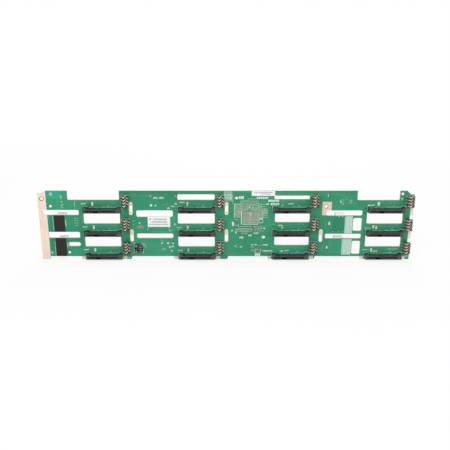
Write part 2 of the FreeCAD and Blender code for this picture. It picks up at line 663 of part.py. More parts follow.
def make_receptacle(label, row):
    """A data receptacle behind the board: an open shell round a contact tongue."""
    body = new_body(label)
    half = "Sizes.data_wide / 2"
    sketch = new_sketch(body)
    rectangle(sketch, "-" + half, half, "-Sizes.data_tall", "0")
    pad(body, sketch, "Sizes.data_deep", reverse=True)
    sketch = new_sketch(body, offset="-Sizes.data_deep")
    rectangle(sketch, "Sizes.data_wall - " + half, half + " - Sizes.data_wall",
              "Sizes.data_wall - Sizes.data_tall", "-Sizes.data_wall")
    pocket(body, sketch, "Sizes.data_deep - Sizes.data_floor", reverse=True)
    sketch = new_sketch(body)
    end = "Sizes.data_wall + Sizes.tongue_short"
    rectangle(sketch, "-Sizes.tongue_thick / 2", "Sizes.tongue_thick / 2", end + " - Sizes.data_tall",
              "-(%s)" % end)
    pad(body, sketch, "Sizes.data_deep - Sizes.tongue_back", reverse=True)
    seat(body, "Places.column_4 - Sizes.data_offset", "Places.row_%d - Sizes.data_drop" % row,
         "Sizes.board_thick")
    return body


def make_chip(label):
    """The expander chip behind the board: a square substrate with a smaller lid."""
    body = new_body(label)
    for side, length in (("Sizes.chip_wide", "Sizes.chip_thick"),
                         ("Sizes.lid_wide", "Sizes.chip_thick + Sizes.lid_thick")):
        sketch = new_sketch(body)
        rectangle(sketch, "-%s / 2" % side, "%s / 2" % side, "-%s / 2" % side, "%s / 2" % side)
        pad(body, sketch, length, reverse=True)
    seat(body, "Places.chip_across", "Places.chip_up", "Sizes.board_thick")
    return body


def make_sink(label):
    """The heat sink on the chip: a square base with two ears for the push pins, and upright fins."""
    body = new_body(label)
    half = "Sizes.sink_wide / 2"
    far = "(Places.push_up + Sizes.ear_margin)"
    outer = "(Sizes.push_across + Sizes.ear_wide / 2)"
    inner = "(Sizes.push_across - Sizes.ear_wide / 2)"
    sketch = new_sketch(body)
    rectangle(sketch, "-" + half, half, "-" + half, half)
    pad(body, sketch, "Sizes.sink_base", reverse=True)
    sketch = new_sketch(body)
    rectangle(sketch, inner, outer, "-" + far, "0")
    rectangle(sketch, "-" + outer, "-" + inner, "0", far)
    pad(body, sketch, "Sizes.sink_base", reverse=True)
    sketch = new_sketch(body)
    circle(sketch, "Sizes.push_across", "-Places.push_up", "Sizes.push_wide + 2 * Sizes.push_gap")
    circle(sketch, "-Sizes.push_across", "Places.push_up", "Sizes.push_wide + 2 * Sizes.push_gap")
    pocket(body, sketch)
    sketch = new_sketch(body)
    rectangle(sketch, "-" + half, "Sizes.fin_thick - " + half, "-" + half, half)
    fin = pad(body, sketch, "Sizes.sink_tall", reverse=True)
    pattern(body, fin, "X_Axis", "(Sizes.sink_wide - Sizes.fin_thick) / %d" % (FINS - 1), FINS)
    seat(body, "Places.chip_across", "Places.chip_up", "Places.sink_back")
    return body


def make_push_pins(label):
    """The heat sink's two push pins: head, shank through ear and board, barbs in front of the board."""
    body = new_body(label)
    ear_back = "Places.sink_back + Sizes.sink_base"
    for across, up in push_spots():
        sketch = new_sketch(body, offset="-(%s)" % ear_back)
        circle(sketch, across, up, "Sizes.push_head")
        pad(body, sketch, "Sizes.push_head_thick", reverse=True)
        sketch = new_sketch(body, offset="-(%s)" % ear_back)
        circle(sketch, across, up, "Sizes.push_wide")
        pad(body, sketch, "%s + Sizes.push_tip" % ear_back)
        sketch = new_sketch(body)
        rectangle(sketch, across + " - Sizes.push_barb / 2", across + " + Sizes.push_barb / 2",
                  up + " - Sizes.push_prong / 2", up + " + Sizes.push_prong / 2")
        pad(body, sketch, "Sizes.push_tip / 2")
    seat(body, "0", "0")
    return body


def make_pads(label):
    """The two insulating pads that cover the header pins on the front."""
    body = new_body(label)
    half = "Sizes.pad_wide / 2"
    sketch = new_sketch(body)
    for foot, top in HEADER_SPANS.values():
        rectangle(sketch, "Sizes.pad_across - " + half, "Sizes.pad_across + " + half,
                  foot + " + Sizes.pad_gap", top + " - Sizes.pad_gap")
    pad(body, sketch, "Sizes.pad_thick")
    seat(body, "0", "0")
    return body


def make_labels(label):
    """The two bare paper labels on the front."""
    body = new_body(label)
    left = "Places.column_2 - Sizes.label_large_left"
    foot = "Places.row_2 + Sizes.label_large_rise"
    sketch = new_sketch(body)
    rectangle(sketch, left, left + " + Sizes.label_large_wide", foot, foot + " + Sizes.label_large_tall")
    left = "Places.column_3 - Sizes.label_small_left"
    top = "Places.board_tall - Sizes.label_small_drop"
    rectangle(sketch, left, left + " + Sizes.label_small_wide", top + " - Sizes.label_small_tall", top)
    pad(body, sketch, "Sizes.label_thick")
    seat(body, "0", "0")
    return body


def make_switches(label):
    """Four small power switches in a square group on the front."""
    body = new_body(label)
    sketch = new_sketch(body)
    for across in ("0", "Sizes.switch_pitch"):
        for up in ("0", "Sizes.switch_step"):
            rectangle(sketch, across, across + " + Sizes.switch_wide", up, up + " + Sizes.switch_tall")
    pad(body, sketch, "Sizes.switch_thick")
    seat(body, "Places.column_1 + Sizes.switch_across", "Places.row_3 + Sizes.switch_rise")
    return body


def make_all():
    """Every piece, in the order in which the board is assembled."""
    pieces = [make_board()]
    for row in ROWS:
        for column in COLUMNS:
            bay = "r%dc%d" % (row, column)
            pieces.append(make_socket("drive_socket_" + bay, column, row))
            pieces.append(make_contacts("drive_socket_contacts_" + bay, column, row))
            pieces.append(make_block("carrier_block_" + bay, column, row))
            pieces.append(make_springs("carrier_springs_" + bay, column, row))
    for name in HEADER_SPANS:
        pieces.append(make_header("power_header_" + name, name))
    pieces.append(make_header_pins("power_header_pins"))
    for name, row in (("upper", 1), ("lower", 2)):
        pieces.append(make_receptacle("data_receptacle_" + name, row))
    pieces.append(make_chip("expander_chip"))
    pieces.append(make_sink("heat_sink"))
    pieces.append(make_push_pins("heat_sink_pins"))
    pieces.append(make_pads("insulating_pads"))
    pieces.append(make_labels("labels"))
    pieces.append(make_switches("power_switches"))
    return pieces


def check_and_write(pieces):
    """Stops at any failed object or bad shape, then writes one file for each piece."""
    doc.recompute()
    for thing in doc.Objects:
        if "Invalid" in thing.State or "Error" in thing.State:
            raise RuntimeError("%s: %s" % (thing.Label, thing.State))
    for piece in pieces:
        if piece.Shape.isNull() or not piece.Shape.isValid() or not piece.Shape.Solids:
            raise RuntimeError("bad shape: " + piece.Label)
    os.makedirs("parts", exist_ok=True)
    for piece in pieces:
        piece.Shape.exportStep("parts/%s.step" % piece.Label)


check_and_write(make_all())
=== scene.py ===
"""Dresses the drive backplane board: its finishes, copper, print, small parts, camera and studio.

Distances across start at the board's left edge and distances up at the ends of its bottom tabs, both in
millimetres. The front face, which the drives plug into, faces -Y.
"""

import logging
import math
from dataclasses import dataclass, field
from enum import Enum
from functools import lru_cache
from typing import Iterable, Iterator, Sequence

import bmesh
import bpy
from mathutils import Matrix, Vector
from mathutils.bvhtree import BVHTree


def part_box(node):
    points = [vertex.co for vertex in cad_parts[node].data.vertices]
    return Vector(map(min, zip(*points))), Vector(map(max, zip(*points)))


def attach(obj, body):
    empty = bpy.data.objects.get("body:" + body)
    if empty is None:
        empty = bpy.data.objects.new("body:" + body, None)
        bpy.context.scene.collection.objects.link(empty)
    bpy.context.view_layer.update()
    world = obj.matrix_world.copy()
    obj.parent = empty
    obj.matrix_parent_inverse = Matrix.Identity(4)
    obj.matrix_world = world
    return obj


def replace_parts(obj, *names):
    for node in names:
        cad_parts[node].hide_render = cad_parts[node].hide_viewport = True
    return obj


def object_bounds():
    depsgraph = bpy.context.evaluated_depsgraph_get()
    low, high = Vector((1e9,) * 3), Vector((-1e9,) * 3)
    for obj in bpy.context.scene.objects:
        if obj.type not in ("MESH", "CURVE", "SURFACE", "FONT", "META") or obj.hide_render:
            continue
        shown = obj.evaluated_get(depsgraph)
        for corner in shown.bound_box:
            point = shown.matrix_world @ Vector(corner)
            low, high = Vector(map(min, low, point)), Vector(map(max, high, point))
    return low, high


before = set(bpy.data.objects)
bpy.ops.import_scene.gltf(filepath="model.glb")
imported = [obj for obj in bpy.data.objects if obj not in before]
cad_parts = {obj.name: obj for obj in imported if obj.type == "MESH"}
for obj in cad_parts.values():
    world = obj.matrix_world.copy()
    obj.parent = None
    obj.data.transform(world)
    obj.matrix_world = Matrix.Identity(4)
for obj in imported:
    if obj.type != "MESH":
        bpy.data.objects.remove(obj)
CAD_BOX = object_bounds()

log = logging.getLogger("drive_backplane")

MM = 0.001
BAND_AT_SCALE_ONE = 0.31416  # metres from band to band
PRINT_THICK = 0.05  # height of print and pads above the board, in millimetres
STROKE_SHARE = 0.66  # how much of its place a printed stroke fills
SOLID_SHARE = 0.84  # the same for marks that look nearly solid
BODY_SOFT = 0.05  # softened edges of small parts' bodies and ends, in millimetres
END_SOFT = 0.07
SEAM = 0.002  # points closer than this are joined before edges are rounded, in millimetres
SHARP_ANGLE = 35  # edges that bend by more than these degrees are rounded
COLUMNS = (1, 2, 3, 4)
ROWS = (1, 2, 3)
Spot = tuple[float, float]
Box = tuple[float, float, float, float]
Mark = tuple[float, float, float, float, int]
Triple = tuple[float, float, float]
Bundle = tuple[int, tuple[Spot, ...]]
Group = tuple[float, float, int, int, float, float]
Bend = Triple
Socket = bpy.types.NodeSocket


class Side(Enum):
    """The two large faces of the board, and the way each looks along Y."""

    FRONT = -1
    BACK = 1


class Slot(Enum):
    """The record's material slots named for the added pieces."""

    BOARD = "circuit_board"
    CONTACT = "gold_contact"
    TIN = "tinned_pin"
    CHIP = "chip_body"
    LABEL = "label_paper"


# ---------------------------------------------------------------- finishes


def tint(code: str) -> tuple[float, float, float, float]:
    """Turns a colour as painters write it into the linear colour that shaders use.

    Args:
        code: The colour as a hash and six digits.

    Returns:
        Red, green, blue and a full alpha.
    """
    parts = [int(code[i:i + 2], 16) / 255 for i in (1, 3, 5)]
    red, green, blue = (p / 12.92 if p <= 0.04045 else ((p + 0.055) / 1.055) ** 2.4 for p in parts)
    return red, green, blue, 1.0


class Recipe:
    """A material while it is being made: its nodes, its links and its shader."""

    def __init__(self, name: str) -> None:
        """Starts a material with one plain shader.

        Args:
            name: The material's name.
        """
        self.material = bpy.data.materials.new(name)
        self.material.use_nodes = True
        self.nodes = self.material.node_tree.nodes
        self.links = self.material.node_tree.links
        self.shader = self.nodes["Principled BSDF"]
        self.place = self.add("ShaderNodeTexCoord").outputs["Object"]

    def add(self, kind: str, inputs: dict[str | int, object] | None = None,
            **settings: object) -> bpy.types.Node:
        """Adds a node and gives it its settings.

        Args:
            kind: Blender's name for the node.
            inputs: Values or sockets for the node's own sockets, by their names or places.
            **settings: Attributes of the node.

        Returns:
            The new node.
        """
        node = self.nodes.new(kind)
        for name, value in settings.items():
            setattr(node, name, value)
        for name, value in (inputs or {}).items():
            self.join(value, node.inputs[name])
        return node

    def join(self, source: object, target: Socket) -> None:
        """Links a socket to a target, or writes a plain value into it.

        Args:
            source: A node's output, or a value.
            target: The input that takes it.
        """
        if isinstance(source, bpy.types.NodeSocket):
            self.links.new(source, target)
        else:
            target.default_value = source

    def noise(self, scale: float, detail: float = 2.0, rough: float = 0.5,
              stretch: Triple = (1, 1, 1)) -> Socket:
        """Makes a cloudy pattern.

        Args:
            scale: Clouds in a metre.
            detail: How many finer layers lie on the first.
            rough: How strong those layers are.
            stretch: Scale along each axis, for streaks.

        Returns:
            The pattern's strength.
        """
        place = self.add("ShaderNodeMapping", {"Scale": stretch, "Vector": self.place}).outputs["Vector"]
        node = self.add("ShaderNodeTexNoise", {"Scale": scale, "Detail": detail, "Roughness": rough,
                                               "Vector": place})
        return node.outputs["Fac"]

    def bands(self, period: float, axis: str) -> Socket:
        """Makes even bands.

        Args:
            period: Width of a band and its gap, in millimetres.
            axis: X, Y or Z, the way the bands follow each other.

        Returns:
            The bands' strength.
        """
        scale = BAND_AT_SCALE_ONE / (period * MM)
        return self.add("ShaderNodeTexWave", {"Scale": scale, "Vector": self.place}, wave_type="BANDS",
                        bands_direction=axis).outputs["Fac"]

    def ramp(self, factor: Socket, dark: str, light: str, low: float = 0.3, high: float = 0.7) -> Socket:
        """Turns a strength into a colour between two.

        Args:
            factor: The strength.
            dark: Colour up to the low mark.
            light: Colour from the high mark on.
            low: The low mark, from 0 to 1.
            high: The high mark, from 0 to 1.

        Returns:
            The colour.
        """
        node = self.add("ShaderNodeValToRGB", {"Fac": factor})
        for mark, place, code in zip(node.color_ramp.elements, (low, high), (dark, light)):
            mark.position = place
            mark.color = tint(code)
        return node.outputs["Color"]

    def span(self, factor: Socket, low: float, high: float) -> Socket:
        """Spreads a strength over a range.

        Args:
            factor: The strength, from 0 to 1.
            low: Value at 0.
            high: Value at 1.

        Returns:
            The value.
        """
        node = self.add("ShaderNodeMapRange", {"Value": factor, "To Min": low, "To Max": high})
        return node.outputs["Result"]

    def mix(self, factor: Socket, first: Socket, second: Socket) -> Socket:
        """Blends two colours.

        Args:
            factor: 0 for the first, 1 for the second.
            first: A colour.
            second: Another colour.

        Returns:
            The blend.
        """
        node = self.add("ShaderNodeMix", {"Factor": factor, "A": first, "B": second}, data_type="RGBA")
        return node.outputs["Result"]

    def sum(self, kind: str, first: object, second: object) -> Socket:
        """Works out a sum.

        Args:
            kind: Blender's name for the operation.
            first: A socket or number.
            second: A socket or number.

        Returns:
            The result.
        """
        return self.add("ShaderNodeMath", {0: first, 1: second}, operation=kind).outputs["Value"]

    def bump(self, height: Socket, depth: float, strength: float = 1.0) -> None:
        """Raises the surface by a pattern; depth is in millimetres."""
        node = self.add("ShaderNodeBump", {"Strength": strength, "Distance": depth * MM, "Height": height})
        self.join(node.outputs["Normal"], self.shader.inputs["Normal"])

    def set(self, **values: object) -> None:
        """Sets or links the shader's sockets; an underscore stands for a space."""
        for name, value in values.items():
            self.join(value, self.shader.inputs[name.replace("_", " ")])


@dataclass(frozen=True)
class Finish:
    """A finish: a name and a way to make its material."""

    name: str

    @property
    def material(self) -> bpy.types.Material:
        """The finish's material, made once."""
        return make_material(self)

    def mix_in(self, recipe: Recipe) -> None:
        """Adds the finish's patterns to a recipe."""
        raise NotImplementedError


@lru_cache(maxsize=None)
def make_material(finish: Finish) -> bpy.types.Material:
    """Makes a finish's material.

    Args:
        finish: The finish.

    Returns:
        Its material.
    """
    recipe = Recipe(finish.name)
    finish.mix_in(recipe)
    return recipe.material


@dataclass(frozen=True)
class SolderMask(Finish):
    """Green lacquer on glass-fibre laminate; the cut edges show the bare laminate."""

    dark: str = "#167f5b"
    light: str = "#26956c"
    edge_dark: str = "#b9a983"
    edge_light: str = "#e3d8bd"

    def mix_in(self, recipe: Recipe) -> None:
        """Adds cloudy green, the weave below it and the layered edge.

        Args:
            recipe: The material being made.
        """
        clouds = recipe.noise(16, 4, 0.62)
        green = recipe.ramp(clouds, self.dark, self.light, 0.32, 0.68)
        layers = recipe.noise(900, 2, 0.5, (1, 6, 1))
        edge = recipe.ramp(layers, self.edge_dark, self.edge_light, 0.35, 0.65)
        normal = recipe.add("ShaderNodeNewGeometry").outputs["True Normal"]
        split = recipe.add("ShaderNodeSeparateXYZ", {"Vector": normal})
        flat = recipe.sum("GREATER_THAN", recipe.sum("ABSOLUTE", split.outputs["Y"], 0.0), 0.5)
        recipe.set(Base_Color=recipe.mix(flat, edge, green), IOR=1.5,
                   Roughness=recipe.span(recipe.noise(120, 3), 0.30, 0.46))
        weave = recipe.sum("ADD", recipe.bands(0.9, "X"), recipe.bands(0.9, "Z"))
        grain = recipe.sum("ADD", recipe.sum("MULTIPLY", weave, 0.5), recipe.noise(1500, 2))
        recipe.bump(grain, 0.012, 0.5)


@dataclass(frozen=True)
class PlainMetal(Finish):
    """Bare or plated metal with fine streaks."""

    dark: str
    light: str
    metal: float
    rough: float
    scale: float = 300.0
    stretch: Triple = (1, 1, 1)

    def mix_in(self, recipe: Recipe) -> None:
        """Adds cloudy colour, uneven gloss and fine scratches.

        Args:
            recipe: The material being made.
        """
        clouds = recipe.noise(self.scale, 4, 0.6, self.stretch)
        gloss = recipe.span(recipe.noise(self.scale * 3, 2), self.rough - 0.07, self.rough + 0.07)
        colour = recipe.ramp(clouds, self.dark, self.light)
        recipe.set(Base_Color=colour, Metallic=self.metal, Roughness=gloss)
        recipe.bump(recipe.noise(self.scale * 6, 3, 0.6, self.stretch), 0.01, 0.4)


@dataclass(frozen=True)
class Plastic(Finish):
    """Moulded plastic with a fine grain and faint flow marks."""

    dark: str
    light: str
    rough: float
    grain: float = 0.02
    ior: float = 1.5

    def mix_in(self, recipe: Recipe) -> None:
        """Adds flow marks to the colour and a grain to the surface.

        Args:
            recipe: The material being made.
        """
        flow = recipe.noise(90, 3, 0.6, (1, 1, 2.5))
        recipe.set(Base_Color=recipe.ramp(flow, self.dark, self.light), IOR=self.ior,
                   Roughness=recipe.span(recipe.noise(400, 3), self.rough - 0.06, self.rough + 0.06))
        recipe.bump(recipe.noise(4200, 3, 0.6), self.grain, 0.5)


@dataclass(frozen=True)
class Ink(Finish):
    """Screen-printed or plain printed ink, a little uneven."""

    dark: str
    light: str

    def mix_in(self, recipe: Recipe) -> None:
        """Adds thin and thick patches to the ink."""
        patches = recipe.noise(700, 3, 0.65)
        recipe.set(Base_Color=recipe.ramp(patches, self.dark, self.light, high=0.62), Roughness=0.62)
        recipe.bump(recipe.noise(5000, 2), 0.01, 0.5)


@dataclass(frozen=True)
class PaperStock(Finish):
    """White label stock with short fibres."""

    dark: str = "#e4e4e6"
    light: str = "#f4f4f6"

    def mix_in(self, recipe: Recipe) -> None:
        """Adds fibres to the colour and the surface."""
        fibres = recipe.noise(1800, 4, 0.7, (1, 1, 2.2))
        recipe.set(Base_Color=recipe.ramp(fibres, self.dark, self.light, 0.35, 0.6), Roughness=0.68)
        recipe.bump(fibres, 0.01, 0.5)


@dataclass(frozen=True)
class StudioWhite(Finish):
    """The pale floor, which keeps its shadows near the board and fades to white away from it."""

    dark: str = "#f3f3f2"
    light: str = "#f7f7f6"
    glow: float = 0.8
    near: float = 0.30
    far: float = 0.95

    def mix_in(self, recipe: Recipe) -> None:
        """Blends a plain matt white with a glow that grows with distance, for the rays that look at it.

        Args:
            recipe: The material being made.
        """
        recipe.set(Base_Color=recipe.ramp(recipe.noise(3, 2), self.dark, self.light),
                   Roughness=0.9, Specular_IOR_Level=0.0)
        glow = recipe.add("ShaderNodeEmission")
        rays = recipe.add("ShaderNodeLightPath").outputs
        seen = recipe.sum("MAXIMUM", rays["Is Camera Ray"], recipe.sum("MAXIMUM", rays["Is Glossy Ray"],
                                                                       rays["Is Transmission Ray"]))
        away = recipe.add("ShaderNodeVectorMath", {0: recipe.place}, operation="LENGTH").outputs["Value"]
        rise = recipe.add("ShaderNodeMapRange", {"Value": away, "From Min": self.near, "From Max": self.far,
                                                 "To Min": self.glow}, interpolation_type="SMOOTHSTEP")
        share = recipe.sum("MULTIPLY", seen, rise.outputs["Result"])
        blend = recipe.add("ShaderNodeMixShader", {"Fac": share, 1: recipe.shader.outputs["BSDF"],
                                                   2: glow.outputs["Emission"]})
        recipe.join(blend.outputs["Shader"], recipe.nodes["Material Output"].inputs["Surface"])


MASK = SolderMask("green solder mask")
MASK_OVER_COPPER = SolderMask("green mask over copper", "#27946d", "#34a37b")
MASK_OVER_POUR = SolderMask("green mask over a copper pour", "#1c8964", "#2c9972")
MASK_BRIGHT = SolderMask("green mask over a bright pour", "#129474", "#20a483")
MASK_DEEP = SolderMask("green mask with no copper below", "#0c7854", "#16855f")
COPPER = PlainMetal("bare ground copper", "#ecd0be", "#f6dfcf", 0.12, 0.5, 60)
# darker and less pink than the strip's copper, on the pad round the right mounting hole
COPPER_SCREW_PAD = PlainMetal("darker ground copper round the screw", "#d9bda8", "#e7cdb9", 0.12, 0.5, 60)
SOLDER_PINK = PlainMetal("bare solder pad", "#bda99a", "#d2bfb0", 0.25, 0.45)
COPPER_EDGE = Ink("mask bleed along the copper", "#dedcc0", "#ece8d4")
VIA_TIN = PlainMetal("tinned via", "#b7b4a2", "#d0ccba", 0.35, 0.45)
TENTED_VIA = PlainMetal("via below lacquer", "#58a584", "#6fb596", 0.1, 0.4)
SILK = Ink("pale screen print", "#b9cfc0", "#dbe8dd")
SILK_FAINT = Ink("faint screen print", "#8fb9a3", "#a9cbb8")
STIPPLE = Ink("stippled screen print", "#b9d6ca", "#d5e9e0")
SOCKET_BLACK = Plastic("socket plastic", "#141619", "#1f2327", 0.2, ior=1.8)
BLOCK_BLACK = Plastic("carrier block plastic", "#33342c", "#414337", 0.36)
HEADER_WHITE = Plastic("natural header plastic", "#e3e2da", "#f0efe8", 0.42)
CHIP_BLACK = Plastic("chip package", "#1c1d1f", "#34363a", 0.48, 0.03)
TAPE_BLACK = Plastic("insulating sheet", "#111110", "#1a1a18", 0.66, 0.03)
NYLON = Plastic("push pin nylon", "#dfe9e0", "#f1f6ef", 0.45)
CONTACT_GOLD = PlainMetal("contact gold", "#5d564c", "#7d756a", 0.8, 0.38, 900)
PAD_GOLD = PlainMetal("small test pad", "#a4b98e", "#bdd1a5", 0.2, 0.5, 700)
WARM_TRACE = Ink("bare trace below thin lacquer", "#5f7f55", "#839068")
# painted shade: a brownish ring round the mouths of the two holes, where their walls fall dark
RIM_SHADE = PlainMetal("worn rim of a hole", "#94694e", "#b4876a", 0.3, 0.5, 500)
# painted highlight: pale lilac-grey bars laid on the dark power switches where they catch the light
SWITCH_HIGHLIGHT = PlainMetal("painted highlight on a power switch", "#84828f", "#a3a1ae", 0.4, 0.4, 500)
LEAF_GOLD = PlainMetal("leaf spring plating", "#b4ab94", "#d2c9b2", 0.25, 0.34, 700)
PIN_TIN = PlainMetal("tin-plated pin", "#b9b9b4", "#d8d8d3", 0.9, 0.35, 900)
SINK_METAL = PlainMetal("extruded aluminium", "#a9abad", "#c3c5c7", 0.9, 0.38, 200, (1, 1, 0.03))
CERAMIC = Plastic("capacitor ceramic", "#8d7a5e", "#a8936f", 0.5)
CERAMIC_GREY = Plastic("grey capacitor ceramic", "#7f7a6e", "#989386", 0.5)
RESISTOR = Plastic("resistor glaze", "#2a2b2e", "#3a3b3e", 0.35)
PAPER = PaperStock("label paper")
LABEL_INK = Ink("label print", "#8f8c98", "#a9a6b0")


# ---------------------------------------------------------------- shared geometry


@dataclass(frozen=True)
class Reach:
    """How far a solid reaches on the board, and its thickness, all in board millimetres."""

    left: float
    right: float
    foot: float
    top: float
    thick: float

    @property
    def wide(self) -> float:
        """Its width."""
        return self.right - self.left

    @property
    def tall(self) -> float:
        """Its height."""
        return self.top - self.foot


@dataclass(frozen=True)
class BoardPlace:
    """Where the board stands, in metres, and how its millimetres turn into places."""

    left: float
    foot: float
    front: float
    back: float

    @classmethod
    def of_frame(cls) -> "BoardPlace":
        """Reads the board's place from its solid."""
        low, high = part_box("board")
        return cls(low[0], low[2], low[1], high[1])

    def level(self, side: Side, height: float) -> float:
        """Gives the Y of a height above one side of the board.

        Args:
            side: The side of the board.
            height: Height above that side, in millimetres.

        Returns:
            The Y in metres.
        """
        base = self.front if side is Side.FRONT else self.back
        return base + side.value * height * MM

    def point(self, across: float, up: float, y: float) -> Vector:
        """Gives a place from its millimetres and its Y in metres."""
        return Vector((self.left + across * MM, y, self.foot + up * MM))

    def reach(self, node: str) -> Reach:
        """Measures a solid against the board's left edge and the ends of its bottom tabs."""
        low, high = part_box(node)
        return Reach((low[0] - self.left) / MM, (high[0] - self.left) / MM, (low[2] - self.foot) / MM,
                     (high[2] - self.foot) / MM, (high[1] - low[1]) / MM)


PLACE = BoardPlace.of_frame()


@lru_cache(maxsize=None)
def board_tree() -> BVHTree:
    """Makes a search tree of the board's faces, once."""
    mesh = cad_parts["board"].data
    return BVHTree.FromPolygons([v.co for v in mesh.vertices], [p.vertices for p in mesh.polygons])


def on_board(spot: Spot, side: Side, room: float = 0.0) -> bool:
    """Tells whether the board lies under a place, and under the places a little way round it.

    Args:
        spot: The place.
        side: The side of the board that it lies on.
        room: How far round it the board must reach, in millimetres.

    Returns:
        True if it does.
    """
    way = Vector((0, -side.value, 0))
    y = PLACE.level(side, 1.0)
    return all(board_tree().ray_cast(PLACE.point(spot[0] + a, spot[1] + u, y), way, 1.5 * MM)[0] is not None
               for a, u in {(0.0, 0.0), (room, 0.0), (-room, 0.0), (0.0, room), (0.0, -room)})


def walk(points: Sequence[Spot], step: float = 0.8) -> Iterator[tuple[Spot, bool]]:
    """Goes along a path in short steps.

    Args:
        points: The places that it goes through.
        step: The longest step.

    Yields:
        Each place, and whether it is one of the path's own.
    """
    yield tuple(points[0]), True
    for here, there in zip(points, points[1:]):
        count = max(1, math.ceil(math.dist(here, there) / step))
        for i in range(1, count + 1):
            across = here[0] + (there[0] - here[0]) * i / count
            up = here[1] + (there[1] - here[1]) * i / count
            yield (across, up), i == count


def bends_of(points: Sequence[Spot]) -> Iterator[tuple[Vector, Vector, float]]:
    """Goes through a path's ends and bends.

    Args:
        points: The places that it goes through.

    Yields:
        Each place, the way across the path there, and how much shorter that way is than its mitre.
    """
    spine = [Vector(p) for p in points]
    for i, here in enumerate(spine):
        before = (here - spine[i - 1]).normalized() if i else None
        after = (spine[i + 1] - here).normalized() if i + 1 < len(spine) else None
        way = ((before or after) + (after or before)).normalized()
        yield here, Vector((-way.y, way.x)), max(0.3, way.dot(before or after))


@dataclass(frozen=True)
class Bay:
    """One drive bay: its row, column, and its socket's middle and underside in board millimetres."""

    name: str
    row: int
    column: int
    middle: float
    underside: float

    @classmethod
    def all(cls) -> Iterator["Bay"]:
        """Goes through the bays, from the top left.

        Yields:
            Each bay, measured from its socket.
        """
        for row in ROWS:
            for column in COLUMNS:
                name = f"r{row}c{column}"
                socket = PLACE.reach("drive_socket_" + name)
                yield cls(name, row, column, (socket.left + socket.right) / 2, socket.foot)


BAYS = tuple(Bay.all())


def middle_of_column(column: int) -> float:
    """Gives the middle of a drive column, across."""
    return next(bay.middle for bay in BAYS if bay.column == column)


def circle_points(middle: Spot, radius: float, steps: int) -> list[Spot]:
    """Places points on a circle.

    Args:
        middle: Its middle.
        radius: Its radius.
        steps: How many points it gets.

    Returns:
        The points, in order.
    """
    turns = (2 * math.pi * step / steps for step in range(steps))
    return [(middle[0] + radius * math.cos(turn), middle[1] + radius * math.sin(turn)) for turn in turns]


def box_points(left: float, foot: float, wide: float, tall: float) -> list[Spot]:
    """Gives a rectangle's corners, in order."""
    return [(left, foot), (left + wide, foot), (left + wide, foot + tall), (left, foot + tall)]


def obround_points(middle: Spot, wide: float, tall: float, steps: int = 8) -> list[Spot]:
    """Places points on an upright slot shape.

    Args:
        middle: Its middle.
        wide: Its width.
        tall: Its height.
        steps: Points on each rounded end.

    Returns:
        The points, in order.
    """
    radius = wide / 2
    rise = tall / 2 - radius
    points = []
    for end, start in ((rise, 0.0), (-rise, math.pi)):
        for step in range(steps + 1):
            turn = start + math.pi * step / steps
            points.append((middle[0] + radius * math.cos(turn), middle[1] + end + radius * math.sin(turn)))
    return points


def quads(low: list, high: list) -> list[list]:
    """Gives the four-sided faces between two loops that have as many corners each."""
    return [list(face) for face in zip(low, low[1:] + low[:1], high[1:] + high[:1], high)]


def spread(seed: float) -> float:
    """Gives a steady number from 0 to 1 that looks unplanned."""
    return math.modf(abs(math.sin(seed * 12.9898) * 43758.5453))[0]


def add_object(name: str, data: bpy.types.ID) -> bpy.types.Object:
    """Makes an object from its data and puts it in the scene."""
    made = bpy.data.objects.new(name, data)
    bpy.context.scene.collection.objects.link(made)
    return made


def add_mesh(name: str, mesh: bmesh.types.BMesh, finish: Finish) -> bpy.types.Object:
    """Turns a mesh that is being made into an object of the scene.

    Args:
        name: The object's name.
        mesh: The mesh, which is used up.
        finish: The object's finish.

    Returns:
        The object.
    """
    data = bpy.data.meshes.new(name)
    mesh.to_mesh(data)
    mesh.free()
    data.materials.append(finish.material)
    return add_object(name, data)


